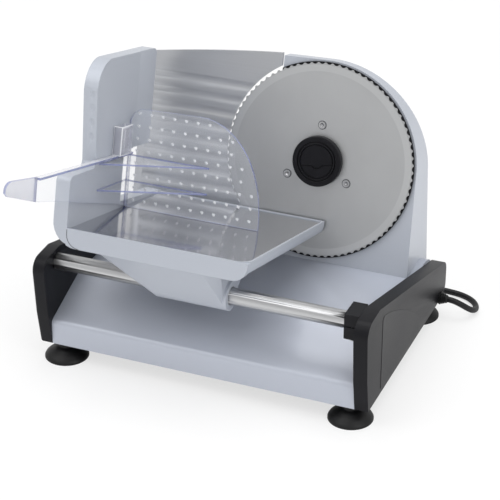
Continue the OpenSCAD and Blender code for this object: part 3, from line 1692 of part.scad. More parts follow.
base_shell();
bottom_plate();
bottom_screws();
end_cap_left();
end_cap_right();
cap_screws();
foot_front_left();
foot_front_right();
foot_rear_left();
foot_rear_right();
foot_screws();
carriage_rod();
rod_clamp_lower();
rod_clamp_upper();
clamp_screws();
motor_housing();
housing_screws();
rear_cover();
rear_cover_screws();
spindle();
motor_core();
motor_windings();
motor_bridge_lower();
motor_bridge_upper();
brush_holders();
control_board();
switch_body();
inner_leads();
power_button();
safety_slider();
blade();
drive_gear();
blade_screws();
blade_lock();
motor_armature();
worm();
cooling_fan();
thickness_block();
block_screws();
thickness_knob();
guide_plate();
guide_carrier();
slide_rods();
setting_screw();
guide_screws();
carriage_body();
carriage_tray();
tray_sheet();
tray_screws();
slide_bushes();
glide_leg();
glide_shoe();
pusher();
pusher_clip();
strain_relief();
power_cord();
cord_coil();
plug_body();
plug_pins();
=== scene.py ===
# %% [markdown]
# An electric food slicer, dressed in Blender over its CAD frame.
# The frame gives every solid part at its true place, in metres, with the origin on the table under the
# middle of the machine. This script adds what a solid model leaves out: softened edges, moulded detail,
# brushed and polished metal, clear plastic, the lying lead, the light and the camera.

# %% Load the frame
import json
import math

import bmesh
import bpy
from mathutils import Matrix, Vector


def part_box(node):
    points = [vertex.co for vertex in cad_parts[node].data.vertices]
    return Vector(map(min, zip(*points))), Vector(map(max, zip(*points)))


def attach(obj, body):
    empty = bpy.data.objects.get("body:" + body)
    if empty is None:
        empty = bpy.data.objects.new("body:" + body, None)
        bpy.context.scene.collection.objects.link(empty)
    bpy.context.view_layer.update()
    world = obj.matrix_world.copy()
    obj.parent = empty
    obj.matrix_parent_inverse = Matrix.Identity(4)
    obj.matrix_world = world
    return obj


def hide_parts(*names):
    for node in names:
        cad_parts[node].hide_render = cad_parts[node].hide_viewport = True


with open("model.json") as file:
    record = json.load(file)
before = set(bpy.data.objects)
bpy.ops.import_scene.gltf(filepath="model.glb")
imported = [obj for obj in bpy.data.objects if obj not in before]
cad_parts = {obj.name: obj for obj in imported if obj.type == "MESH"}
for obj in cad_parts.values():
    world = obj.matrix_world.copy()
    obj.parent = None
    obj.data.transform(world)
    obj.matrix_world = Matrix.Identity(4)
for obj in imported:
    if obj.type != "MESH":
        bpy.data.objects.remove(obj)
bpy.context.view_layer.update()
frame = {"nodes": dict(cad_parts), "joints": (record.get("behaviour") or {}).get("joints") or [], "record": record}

# %% [markdown]
# The cutting parts of the machine all lean back by the same angle, so nearly every visible piece is
# easiest to draw in a leaning frame: X along the machine, Y backwards through the blade, Z up along it.
# Reading that frame from the blade's own joint ties the script to the CAD instead of to copied numbers.

# %% Find the leaning frame
MM = 0.001
joints = {joint["name"]: joint for joint in frame["joints"]}
blade_middle = Vector(joints["blade_spin"]["pos_m"])
blade_axis = Vector(joints["blade_spin"]["axis"])
lean = math.atan2(-blade_axis.z, blade_axis.y)
LEANING = Matrix.Translation((0, blade_middle.y, blade_middle.z)) @ Matrix.Rotation(-lean, 4, "X")
AT_BLADE = Matrix.Translation(blade_middle) @ Matrix.Rotation(-lean, 4, "X")
skirt_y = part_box("base_shell")[0].y
print("lean, degrees:", round(math.degrees(lean), 2), "skirt at y =", round(skirt_y, 4))

# %% [markdown]
# The camera comes before any modelling, because it decides which details matter. The photograph looks down
# at the machine from the front right. A long lens far away gives the same calm perspective as the picture.

# %% Place the camera
CAMERA_SIDE = 0.59767
CAMERA_BEFORE_SKIRT = 1.34059
CAMERA_HEIGHT = 0.94481
CAMERA_AZIMUTH = 22.19
CAMERA_ELEVATION = 28.44
CAMERA_LENS = 134.66
SENSOR_WIDTH = 36


def put_in_scene(name, data):
    made = bpy.data.objects.new(name, data)
    bpy.context.scene.collection.objects.link(made)
    return made


camera_data = bpy.data.cameras.new("camera")
camera_data.lens = CAMERA_LENS
camera_data.sensor_width = SENSOR_WIDTH
camera = put_in_scene("camera", camera_data)
camera.location = (CAMERA_SIDE, skirt_y - CAMERA_BEFORE_SKIRT, CAMERA_HEIGHT)
camera.rotation_euler = (math.radians(90 - CAMERA_ELEVATION), 0, math.radians(CAMERA_AZIMUTH))
bpy.context.scene.camera = camera
bpy.context.scene.view_settings.view_transform = "Standard"
print("camera at", [round(value, 3) for value in camera.location])

# %% [markdown]
# Shader maths is easier to read as an expression than as a list of links. One small class wraps a socket:
# arithmetic on it adds Math nodes, and its node method adds any other node.

# %% A socket that can be calculated with
class Wire:
    """One output socket in a node tree."""

    def __init__(self, tree, socket=None):
        self.tree = tree
        self.socket = socket

    def node(self, kind, settings=None, inputs=None, out=0):
        made = self.tree.nodes.new(kind)
        for name, value in (settings or {}).items():
            setattr(made, name, value)
        for name, value in (inputs or {}).items():
            if isinstance(value, Wire):
                self.tree.links.new(value.socket, made.inputs[name])
            else:
                made.inputs[name].default_value = value
        return Wire(self.tree, made.outputs[out] if made.outputs else None)

    def maths(self, operation, first, second=0.0):
        return self.node("ShaderNodeMath", {"operation": operation}, {0: first, 1: second})

    def __add__(self, other):
        return self.maths("ADD", self, other)

    __radd__ = __add__

    def __sub__(self, other):
        return self.maths("SUBTRACT", self, other)

    def __rsub__(self, other):
        return self.maths("SUBTRACT", other, self)

    def __mul__(self, other):
        return self.maths("MULTIPLY", self, other)

    __rmul__ = __mul__

    def step(self, low, high):
        """Rises smoothly from 0 at low to 1 at high."""
        smooth = {"interpolation_type": "SMOOTHSTEP"}
        return self.node("ShaderNodeMapRange", smooth, {0: self, 1: low, 2: high})

    def blend(self, dark, light):
        """Mixes two colours, or colour wires, by this wire."""
        return self.node("ShaderNodeMix", {"data_type": "RGBA"}, {0: self, 6: dark, 7: light}, out=2)


def tone(code):
    """A colour written as six hex digits, as the linear colour that Blender works in."""
    parts = [int(code[i:i + 2], 16) / 255 for i in (0, 2, 4)]
    linear = [part / 12.92 if part <= 0.04045 else ((part + 0.055) / 1.055) ** 2.4 for part in parts]
    return (*linear, 1.0)


# %% [markdown]
# Every finish here starts the same way: a Principled shader, the piece's own coordinates in metres and a
# little noise. Writing that start once keeps each finish short, so that only its own recipe is left.

# %% Start a finish
OBJECT_COORDINATES = 3


def new_finish(name):
    material = bpy.data.materials.new(name)
    material.use_nodes = True
    tree = material.node_tree
    shader = tree.nodes["Principled BSDF"]
    place = Wire(tree).node("ShaderNodeTexCoord", out=OBJECT_COORDINATES)
    return material, tree, shader, place


def join(tree, wire, shader, name):
    tree.links.new(wire.socket, shader.inputs[name])


def noise(place, scale, detail=3.0, roughness=0.5):
    return place.node("ShaderNodeTexNoise", None,
                      {"Vector": place, "Scale": scale, "Detail": detail, "Roughness": roughness})


def stretched(place, scale):
    """The same coordinates, multiplied along each axis."""
    return place.node("ShaderNodeMapping", None, {"Vector": place, "Scale": scale})


def bumped(height, strength, distance):
    values = {"Height": height, "Strength": strength, "Distance": distance}
    return height.node("ShaderNodeBump", None, values)


# %% [markdown]
# The base and the housing wear silver paint: bright flakes of metal in a clear binder. Up close it sparkles
# a little and is never quite even, so fine noise changes the colour and the roughness, and a coarser,
# weaker noise gives the slight waves of sprayed paint. The shader is part metallic, because the flakes
# mirror the studio, and a thin coat gives the gloss on top.

# %% Silver paint and silver plastic
def silver_paint(name, colour, deep, metal, rough, flake):
    material, tree, shader, place = new_finish(name)
    grain = noise(place, flake, 2.0)
    cloud = noise(place, 9.0, 2.0)
    join(tree, (grain * 0.45 + cloud * 0.55).blend(tone(deep), tone(colour)), shader, "Base Color")
    join(tree, grain * 0.10 + cloud * 0.05 + rough, shader, "Roughness")
    join(tree, bumped(noise(place, 420.0, 1.0), 0.06, 0.0002), shader, "Normal")
    shader.inputs["Metallic"].default_value = metal
    shader.inputs["Coat Weight"].default_value = 0.35
    shader.inputs["Coat Roughness"].default_value = 0.14
    return material


# %% [markdown]
# The end caps are dark plastic from a spark-eroded mould: a fine, even grain that breaks up reflections.
# A pattern of cells gives that pebbled skin better than plain noise, as each cell is a small dome.

# %% Moulded plastic
def moulded_plastic(name, colour, worn, rough, grain_size, grain_depth):
    material, tree, shader, place = new_finish(name)
    cells = place.node("ShaderNodeTexVoronoi", None, {"Vector": place, "Scale": 1.0 / grain_size})
    cloud = noise(place, 14.0, 3.0)
    join(tree, cloud.step(0.3, 0.8).blend(tone(colour), tone(worn)), shader, "Base Color")
    join(tree, cells * 0.08 + cloud * 0.10 + (rough - 0.08), shader, "Roughness")
    join(tree, bumped(cells, grain_depth, 0.0002), shader, "Normal")
    shader.inputs["Specular IOR Level"].default_value = 0.18
    return material


# %% [markdown]
# Metals differ mostly in how they were finished. A polished rod only needs faint streaks in its roughness,
# drawn out along its length. A brushed disc shows fine circles. A mirror sheet is nearly perfect, with a
# faint haze of wiping marks.

# %% Polished and plated metal
def polished_metal(name, colour, rough, streaks):
    material, tree, shader, place = new_finish(name)
    drawn_out = noise(stretched(place, streaks), 1.0, 3.0)
    haze = noise(place, 18.0, 3.0)
    join(tree, (drawn_out * 0.6 + haze * 0.4).blend(tone("b9babc"), tone(colour)), shader, "Base Color")
    join(tree, drawn_out * 0.07 + haze.step(0.45, 0.8) * 0.05 + rough, shader, "Roughness")
    join(tree, bumped(drawn_out, 0.05, 0.0001), shader, "Normal")
    shader.inputs["Metallic"].default_value = 1.0
    return material


# %% [markdown]
# The blade is ground on a turntable, so its scratches are circles round its own centre. The distance from the
# blade's axis, stretched into a noise, gives them. The same distance picks out two rings. One is the ground bevel
# near the edge, lighter partly by its finer grinding and partly as painted highlight. The other is the tips of the
# scalloped teeth, darkened a little with painted shade of the gaps between blade and housing.

# %% Ground blade steel
RINGS_PER_METRE = 2600.0
BEVEL_ZONE = (0.0862, 0.0868)
TOOTH_SHADE_ZONE = (0.0921, 0.0933)


def ground_blade(name):
    material, tree, shader, place = new_finish(name)
    from_centre = {0: place, 1: tuple(blade_middle)}
    centred = place.node("ShaderNodeVectorMath", {"operation": "SUBTRACT"}, from_centre)
    by_lean = {"Vector": centred, "Angle": lean}
    turned = centred.node("ShaderNodeVectorRotate", {"rotation_type": "X_AXIS"}, by_lean)
    flat = turned.node("ShaderNodeVectorMath", {"operation": "MULTIPLY"}, {0: turned, 1: (1, 0, 1)})
    radius = flat.node("ShaderNodeVectorMath", {"operation": "LENGTH"}, {0: flat}, out=1)
    swirl = place.node("ShaderNodeCombineXYZ", None, {0: radius * RINGS_PER_METRE})
    rings = noise(swirl, 1.0, 4.0, 0.7)
    cloud = noise(place, 22.0, 3.0)
    bevel = radius.step(*BEVEL_ZONE)
    teeth = radius.step(*TOOTH_SHADE_ZONE)
    satin = (rings * 0.5 + cloud * 0.5).blend(tone("b0b1b2"), tone("cacbcc"))
    # The bevel ring is lighter partly by its finer grinding and partly as painted highlight.
    satin_and_bevel_highlight = bevel.blend(satin, tone("c6c7c8"))
    # The tips of the teeth are darkened with painted shade of the gaps between blade and housing.
    join(tree, (teeth * 0.15).blend(satin_and_bevel_highlight, tone("45484c")), shader, "Base Color")
    join(tree, rings * 0.16 + cloud * 0.05 + 0.36 - bevel * 0.06, shader, "Roughness")
    join(tree, bumped(rings, 0.12, 0.0001), shader, "Normal")
    shader.inputs["Metallic"].default_value = 1.0
    return material


# %% [markdown]
# The pusher is clear styrene, two or three millimetres thin. Through its flat faces one sees everything
# behind almost unchanged, only a little milky. Along its cut edges the light has run a long way through the
# plastic, so these look blue and nearly solid. A glass shader would bend the picture as a thick block does,
# so the faces and the edges are two finishes of their own, told apart by how much they let through.

# %% Clear plastic
def clear_plastic(name, colour, hazy, cover, rough):
    material, tree, shader, place = new_finish(name)
    haze = noise(place, 24.0, 3.0)
    join(tree, haze.blend(tone(colour), tone(hazy)), shader, "Base Color")
    join(tree, haze.step(0.4, 0.8) * 0.06 + rough, shader, "Roughness")
    join(tree, haze.step(0.3, 0.9) * 0.06 + cover, shader, "Alpha")
    shader.inputs["Coat Weight"].default_value = 1.0
    shader.inputs["Coat Roughness"].default_value = 0.03
    return material


# %% [markdown]
# Rubber and soft cable jackets scatter light in all directions. They are never fully black, hold dust in
# their pores and have only a dull sheen.

# %% Rubber
def soft_rubber(name, colour, dusty, rough):
    material, tree, shader, place = new_finish(name)
    pores = noise(place, 700.0, 2.0)
    dust = noise(place, 25.0, 4.0)
    join(tree, dust.step(0.45, 0.85).blend(tone(colour), tone(dusty)), shader, "Base Color")
    join(tree, pores * 0.12 + rough, shader, "Roughness")
    join(tree, bumped(pores, 0.15, 0.0001), shader, "Normal")
    shader.inputs["Specular IOR Level"].default_value = 0.35
    return material


# %% [markdown]
# Each finish is made once and kept under the name of the record's material slot that it dresses, so a CAD node
# finds its finish by looking up its slot. Three more clear finishes dress the pusher's edges, its teeth and its
# bent end. The one on the teeth is a nearly opaque white, a painted highlight, and it also whitens the guard's
# ledge and the clip's edges.

# %% Make the finishes
recipes = {
    "silver_paint": (silver_paint, "bcc1cc", "b3b8c4", 0.22, 0.36, 900.0),
    "silver_plastic": (silver_paint, "babfc8", "b1b6c0", 0.20, 0.38, 1100.0),
    "dark_plastic": (moulded_plastic, "101014", "17171c", 0.38, 0.0006, 0.2),
    "grey_plastic": (moulded_plastic, "77797d", "7e8084", 0.45, 0.0006, 0.2),
    "red_plastic": (moulded_plastic, "b02a1e", "b83428", 0.4, 0.0006, 0.15),
    "clear_plastic": (clear_plastic, "dde3f2", "eef2fb", 0.09, 0.05),
    "nylon": (moulded_plastic, "e4dfcf", "dcd6c4", 0.42, 0.001, 0.1),
    "rubber": (soft_rubber, "0a0a0c", "131315", 0.40),
    "cord_rubber": (soft_rubber, "0e0e10", "161618", 0.42),
    "chrome": (polished_metal, "cbcbcc", 0.29, (3.0, 260.0, 260.0)),
    "blade_steel": (ground_blade,),
    "mirror_steel": (polished_metal, "c4c4c8", 0.06, (900.0, 12.0, 12.0)),
    "screw_steel": (polished_metal, "c0c0c2", 0.25, (300.0, 300.0, 300.0)),
    "plate_aluminium": (polished_metal, "c6c8cd", 0.34, (8.0, 700.0, 700.0)),
    "motor_iron": (moulded_plastic, "5a5c5f", "6a6c6f", 0.55, 0.002, 0.2),
    "copper": (polished_metal, "b8743f", 0.30, (60.0, 900.0, 900.0)),
    "board": (moulded_plastic, "1f5a36", "2a6a42", 0.4, 0.002, 0.1),
}
finishes = {name: maker(name, *values) for name, (maker, *values) in recipes.items()}
clear_edge = clear_plastic("clear_edge", "6f79ad", "8d96c6", 0.66, 0.12)
# Nearly opaque white: a painted highlight on the teeth, the guard's ledge and the clip's edges.
clear_painted_highlight = clear_plastic("clear_painted_highlight", "f4f6fd", "ffffff", 0.80, 0.10)
smoky_end = clear_plastic("smoky_end", "c3c5d0", "cfd1dc", 0.42, 0.08)
record = frame["record"]
slot_of = {part["node"]: part["material_slot"] for part in record["subparts"]}
body_of = {node: body for body, members in record["behaviour"]["bodies"].items() for node in members}
for node, part in frame["nodes"].items():
    part.data.materials.clear()
    part.data.materials.append(finishes[slot_of[node]])
print("finishes of slots:", len(finishes), "nodes dressed:", len(slot_of))

# %% [markdown]
# A new piece is built as a bmesh, gets its finish and shading, and is then told which CAD body carries it.
# Doing that in one place means no piece is forgotten: each rides a body, gets the finish of its slot or the one it
# is given, and hides its solid.

# %% Finish a piece
def keep_piece(name, bm, body, slot, nodes=(), place=None, sharp=30, finish=None, edge_finish=None):
    if place is not None:
        bmesh.ops.transform(bm, matrix=place, verts=bm.verts)
    mesh = bpy.data.meshes.new(name)
    bm.to_mesh(mesh)
    bm.free()
    mesh.polygons.foreach_set("use_smooth", [True] * len(mesh.polygons))
    mesh.set_sharp_from_angle(angle=math.radians(sharp))
    mesh.materials.append(finish or finishes[slot])
    if edge_finish:
        mesh.materials.append(edge_finish)
    piece = put_in_scene(name, mesh)
    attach(piece, body)
    if nodes:
        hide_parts(*nodes)
    return piece


# %% [markdown]
# Moulded and bent parts have no razor edges: even a crisp one has a radius that catches the light. The CAD
# solids are sharp, so each main one is copied, its triangles are merged back into flat faces, and a bevel
# rounds the edges. The copy then stands for the solid. Modelling them again by hand would only risk errors.

# %% Soften the CAD solids
SAME_PLACE = 2e-6
FLAT_ANGLE = math.radians(0.4)
EDGE_ANGLE = math.radians(32)


def merged_copy(node, flatten=True):
    bm = bmesh.new()
    bm.from_mesh(frame["nodes"][node].data)
    bmesh.ops.remove_doubles(bm, verts=bm.verts, dist=SAME_PLACE)
    if flatten:
        bmesh.ops.dissolve_limit(bm, angle_limit=FLAT_ANGLE, verts=bm.verts, edges=bm.edges)
    return bm


def round_edges(piece, width, segments=3):
    bevel = piece.modifiers.new("round edges", "BEVEL")
    bevel.width = width * MM
    bevel.segments = segments
    bevel.limit_method = "ANGLE"
    bevel.angle_limit = EDGE_ANGLE
    bevel.harden_normals = True
    bevel.miter_outer = "MITER_ARC"
    return piece


def stand_in(node, name, bm):
    """A piece that takes a CAD node's place, body and slot."""
    return keep_piece(name, bm, body_of[node], slot_of[node], (node,))


rounding = {
    "base_shell": ("base_skin", 0.8),
    "motor_housing": ("housing_skin", 1.2),
    "rear_cover": ("rear_panel", 0.8),
    "rod_clamp_lower": ("clamp_below", 1.0),
    "rod_clamp_upper": ("clamp_above", 1.0),
    "thickness_block": ("setting_block", 1.5),
    "guide_plate": ("slice_plate", 0.5),
    "carriage_tray": ("tray_frame", 0.8),
    "tray_sheet": ("tray_steel", 0.3),
    "glide_leg": ("runner_leg", 0.8),
    "glide_shoe": ("runner_shoe", 0.8),
    "power_button": ("power_key", 1.0),
    "safety_slider": ("safety_key", 0.8),
    "thickness_knob": ("setting_knob", 0.5),
}
for node, (name, width) in rounding.items():
    round_edges(stand_in(node, name, merged_copy(node)), width)
print("softened:", len(rounding))

# %% [markdown]
# The caps and the carriage's wall are thick mouldings whose outer edges are rounded far more than the inner
# ones, which is where the long soft highlights in the picture come from. The bevel operator takes just the
# edges it is given, so a test on each edge's place picks the outer ones, and the modifier rounds the rest.

# %% Round the outer edges more
AT_FACE = 0.0001
REST_ROUNDING = 1.0


def rounded_outside(node, name, width, segments, is_outside):
    bm = merged_copy(node)
    chosen = [edge for edge in bm.edges
              if len(edge.link_faces) == 2 and edge.calc_face_angle() > EDGE_ANGLE
              and all(is_outside(vert.co) for vert in edge.verts)]
    bmesh.ops.bevel(bm, geom=chosen, offset=width * MM, offset_type="OFFSET", segments=segments,
                    profile=0.5, affect="EDGES", clamp_overlap=True, material=-1)
    print(name, "outer edges rounded:", len(chosen))
    return round_edges(stand_in(node, name, bm), REST_ROUNDING)


cap_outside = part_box("end_cap_right")[1].x
wall_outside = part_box("carriage_body")[0].x
rounded_outside("end_cap_right", "right_cap", 4.0, 6, lambda co: co.x > cap_outside - AT_FACE)
rounded_outside("end_cap_left", "left_cap", 4.0, 6, lambda co: co.x < AT_FACE - cap_outside)
wall = rounded_outside("carriage_body", "carriage_shell", 3.0, 5, lambda co: co.x < wall_outside + AT_FACE)

# %% [markdown]
# Turned and plain pieces keep their edges. Their copies are only merged, so that round walls are shaded
# smoothly instead of as flat strips.

# %% Smooth the round pieces
round_pieces = ["foot_front_left", "foot_front_right", "foot_rear_left", "foot_rear_right", "carriage_rod",
                "blade", "drive_gear", "spindle", "slide_rods", "setting_screw", "slide_bushes",
                "blade_screws", "rear_cover_screws", "bottom_screws", "foot_screws", "bottom_plate",
                "guide_carrier", "plug_pins"]
skins = {node: stand_in(node, node + "_skin", merged_copy(node, flatten=False)) for node in round_pieces}
print("smoothed:", len(skins))

# %% [markdown]
# The mains lead is a fixed length of rubber cable. It leaves the strain relief straight, droops to the
# table under its own weight, turns behind the machine and ends in a neat coil of what is left, as put away
# for storage. The route of its centre line comes first. It repeats the CAD's points, measured from the front
# skirt, and the coil is a spiral on the table with a second one on top of it.

# %% Route of the mains lead
LEAD_RADIUS = 3.0
lead_route = [(173.3, 217, 21.5), (179, 217, 21), (184, 218, 19), (188.5, 220, 16), (192, 223, 12.5),
              (194.8, 227, 9), (196.4, 232, 6.2), (196.8, 238, 4.2), (195.6, 244, 3.2), (192.6, 250, 3),
              (188, 255, 3), (181, 259.5, 3), (172, 262.5, 3), (160, 264, 3), (146, 264, 3), (130, 263, 3),
              (112, 262, 3), (94, 261.5, 3), (76, 261.3, 3), (58, 261.3, 3), (46, 261.3, 3)]
COIL_MIDDLE = (40.0, 302.0)
COIL_OUTSIDE = 40.7
COIL_STEP = 6.6
COIL_LOOPS = 2.25
COIL_RISE = 6.5
COIL_PARTS = 24
CLIMB_TURN = 0.5
CLIMB_IN = 1.6
TAIL_TURN = 0.5
TAIL_ROOM = 0.4
PLUG_HALF = 6.4


def coil_point(turns):
    """Centre line of the coil: in on the table, up half a turn, out again on top and down to the plug."""
    inward = min(turns, COIL_LOOPS)
    climb = min(max(turns - COIL_LOOPS, 0) / CLIMB_TURN, 1)
    outward = min(max(turns - COIL_LOOPS - CLIMB_TURN, 0), COIL_LOOPS)
    tail = max(turns - 2 * COIL_LOOPS - CLIMB_TURN, 0) / TAIL_TURN
    radius = COIL_OUTSIDE + COIL_STEP * (outward - inward) + (COIL_STEP + TAIL_ROOM) * min(1, tail / 0.6)
    radius -= CLIMB_IN * math.sin(math.pi * climb)
    drop = max(0, (tail - 0.3) / 0.7)
    height = LEAD_RADIUS + COIL_RISE * climb + (PLUG_HALF + 0.1 - LEAD_RADIUS - COIL_RISE) * drop
    angle = math.radians(-90 - 360 * turns)
    return (COIL_MIDDLE[0] + radius * math.cos(angle), COIL_MIDDLE[1] + radius * math.sin(angle), height)


coil_turns = 2 * COIL_LOOPS + CLIMB_TURN + TAIL_TURN
coil_route = [coil_point(i / COIL_PARTS) for i in range(round(coil_turns * COIL_PARTS) + 1)]
last = coil_route[-1]
coil_route.append((last[0] + 2 * LEAD_RADIUS, last[1], last[2]))
route = [Vector(point) * MM + Vector((0, skirt_y, 0)) for point in lead_route + coil_route[1:]]

# %% [markdown]
# A tube could be bridged ring by ring, but a curve with a round bevel is the plainest way to make a cable,
# because its line is the cable's own centre line. Points added on a smooth curve through the given ones keep
# its turns round.

# %% Lay the mains lead
def lead_curve(name, points, radius):
    data = bpy.data.curves.new(name, "CURVE")
    data.dimensions = "3D"
    data.bevel_depth = radius
    data.bevel_resolution = 6
    data.use_fill_caps = True
    spline = data.splines.new("POLY")
    spline.points.add(len(points) - 1)
    for point, place in zip(spline.points, points):
        point.co = (*place, 1)
    data.materials.append(finishes["cord_rubber"])
    return put_in_scene(name, data)


def smooth_points(points, parts):
    """Points on a smooth curve that passes through all the given ones."""
    made = []
    for i in range(len(points) - 1):
        before = points[max(i - 1, 0)]
        start = points[i]
        end = points[i + 1]
        after = points[min(i + 2, len(points) - 1)]
        for j in range(parts):
            t = j / parts
            made.append(0.5 * (2 * start + (end - before) * t
                               + (2 * before - 5 * start + 4 * end - after) * t * t
                               + (3 * start - before - 3 * end + after) * t ** 3))
    return made + [points[-1]]


lead = lead_curve("mains_lead", smooth_points(route, 3), LEAD_RADIUS * MM)
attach(lead, "base")
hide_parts("power_cord", "cord_coil")
print("points of the lead:", len(lead.data.splines[0].points))

# %% [markdown]
# Where the lead leaves the cap, a tapered sleeve with slits keeps it from kinking. It is a turned shape: a
# profile spun round an axis. The slits are the low places between its ribs.

# %% Strain relief
def lathe(profile, steps=48, axis="X"):
    """A closed round body from (place along the axis, radius) pairs."""
    bm = bmesh.new()
    verts = [bm.verts.new((along, radius, 0)) for along, radius in profile]
    edges = [bm.edges.new(pair) for pair in zip(verts, verts[1:])]
    bmesh.ops.spin(bm, geom=verts + edges, cent=(0, 0, 0), axis=(1, 0, 0), angle=2 * math.pi, steps=steps,
                   use_merge=True)
    bmesh.ops.remove_doubles(bm, verts=bm.verts, dist=1e-7)
    bmesh.ops.recalc_face_normals(bm, faces=bm.faces)
    if axis == "Y":
        bmesh.ops.transform(bm, matrix=Matrix.Rotation(math.radians(90), 4, "Z"), verts=bm.verts)
    return bm


RIBS = 3
RIB_PITCH = 0.0019
RIB_TAPER = 0.0007
SLIT_DEPTH = 0.0008
relief_low, relief_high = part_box("strain_relief")
relief_axis = Vector((0, (relief_low.y + relief_high.y) / 2, (relief_low.z + relief_high.z) / 2))
relief_profile = [(relief_low.x, 0), (relief_low.x, 0.005), (relief_high.x - 0.0082, 0.005)]
relief_profile += [(relief_high.x - 0.0080, 0.0063), (relief_high.x - 0.0066, 0.0064)]
for rib in range(RIBS):
    x = relief_high.x - 0.0056 + rib * RIB_PITCH
    radius = 0.0056 - rib * RIB_TAPER
    relief_profile += [(x - 0.0006, radius - SLIT_DEPTH), (x, radius - SLIT_DEPTH)]
    relief_profile += [(x + 0.0002, radius), (x + 0.0010, radius)]
relief_profile += [(relief_high.x, 0.0036), (relief_high.x, 0)]
relief = keep_piece("strain_sleeve", lathe(relief_profile), "base", "cord_rubber", ("strain_relief",),
                    Matrix.Translation(relief_axis))
print("sleeve length, metres:", round(relief_high.x - relief_low.x, 4))

# %% [markdown]
# The plug is a flat moulded body with two round pins. Its cross-section goes from the round neck of the lead to a
# wide, softly squared grip, so rings of one vertex count are bridged from end to end.

# %% Plug
PLUG_SIDES = 32
SQUARENESS = 0.55
plug_low, plug_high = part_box("plug_body")
plug_middle = (plug_low + plug_high) / 2
plug_mesh = bmesh.new()
# Share of the plug's length, half width and half height in millimetres
rings = [(0.0, 3.8, 3.4), (0.10, 4.6, 4.2), (0.34, 5.4, 4.6), (0.42, 9.5, 5.6), (0.60, 11.6, 6.2),
         (0.97, 11.9, 6.2), (1.0, 11.2, 5.6)]
loops = []
for along, half_wide, half_high in rings:
    made = bmesh.ops.create_circle(plug_mesh, cap_ends=False, radius=1.0, segments=PLUG_SIDES)["verts"]
    for vert in made:
        corner = max(abs(vert.co.x), abs(vert.co.y)) ** SQUARENESS
        vert.co = Vector((plug_low.x + along * (plug_high.x - plug_low.x),
                          plug_middle.y + vert.co.x / corner * half_wide * MM,
                          plug_middle.z + vert.co.y / corner * half_high * MM))
    loops.append(made)
for first, second in zip(loops, loops[1:]):
    edges = [edge for edge in plug_mesh.edges
             if all(vert in first for vert in edge.verts) or all(vert in second for vert in edge.verts)]
    bmesh.ops.bridge_loops(plug_mesh, edges=edges)
bmesh.ops.holes_fill(plug_mesh, edges=[edge for edge in plug_mesh.edges if edge.is_boundary])
bmesh.ops.recalc_face_normals(plug_mesh, faces=plug_mesh.faces)
plug = keep_piece("plug_grip", plug_mesh, "base", "cord_rubber", ("plug_body",), sharp=50)
print("plug, metres:", [round(value, 4) for value in plug_high - plug_low])

# %% [markdown]
# The pusher is six sheets of clear plastic in one moulding: a plate with rows of small teeth for grip, two
# three-cornered ribs, and a long guard for the hand with a ledge and a bent end. Each sheet is an outline
# drawn through its thickness, which is how its mould was cut too. Faces across the thickness keep the clear
# finish and all others get the blue edge finish, so every sheet's outline shows as a thin line.

# %% Sheets drawn from outlines
SHEET_ROUNDING = 0.35


def drawn(outline, low, high, across):
    """An outline in millimetres, drawn through from low to high across one axis."""
    put = {"X": lambda a, b, c: (c, a, b), "Y": lambda a, b, c: (a, c, b),
           "Z": lambda a, b, c: (a, b, c)}[across]
    bm = bmesh.new()
    face = bm.faces.new([bm.verts.new(put(a, b, low)) for a, b in outline])
    grown = bmesh.ops.extrude_face_region(bm, geom=[face])["geom"]
    far = [item for item in grown if isinstance(item, bmesh.types.BMVert)]
    bmesh.ops.translate(bm, verts=far, vec=put(0, 0, high - low))
    bmesh.ops.recalc_face_normals(bm, faces=bm.faces)
    bmesh.ops.scale(bm, vec=(MM, MM, MM), verts=bm.verts)
    return bm


def arc(middle_a, middle_b, radius, start, end, steps=10):
    angles = [math.radians(start + (end - start) * i / steps) for i in range(steps + 1)]
    return [(middle_a + radius * math.cos(a), middle_b + radius * math.sin(a)) for a in angles]


def clear_sheet(name, bm, across, nodes=(), place=LEANING, finish=None):
    index = "XYZ".index(across)
    bm.normal_update()
    for face in bm.faces:
        face.material_index = 0 if abs(face.normal[index]) > 0.9 else 1
    sheet = keep_piece(name, bm, "food_pusher", "clear_plastic", nodes, place, finish=finish,
                       edge_finish=clear_edge)
    print(name, "faces:", len(sheet.data.polygons))
    return round_edges(sheet, SHEET_ROUNDING, 2)


# %% [markdown]
# The plate stands across the tray, with a nearly elliptical right side. Its outline starts at the lower left
# corner and goes along the foot, up the curve to the top, and back over the cut upper left corner.

# %% Pusher plate
PUSHER_LEFT = -116.7
PUSHER_RIGHT = 22.0
PUSHER_FOOT = -57.9
PUSHER_TOP = 40.0
PLATE_FRONT = 88.0
PLATE_BACK = 85.0
CURVE_START = -45.0
CURVE_BULGE = 0.92
plate_height = PUSHER_TOP - PUSHER_FOOT
curve_width = PUSHER_RIGHT - CURVE_START
plate_outline = [(PUSHER_LEFT, PUSHER_FOOT), (PUSHER_RIGHT, PUSHER_FOOT)]
for step in range(1, 22):
    turn = math.radians(4 * step)
    plate_outline.append((CURVE_START + curve_width * math.cos(turn),
                          PUSHER_FOOT + plate_height * math.sin(turn) ** CURVE_BULGE))
plate_outline += [(CURVE_START, PUSHER_TOP), (PUSHER_LEFT + 10, PUSHER_TOP - 2),
                  (PUSHER_LEFT + 3, PUSHER_TOP - 7), (PUSHER_LEFT, PUSHER_TOP - 14)]
clear_sheet("pusher_plate", drawn(plate_outline, -PLATE_FRONT, -PLATE_BACK, "Y"), "Y", ("pusher",))
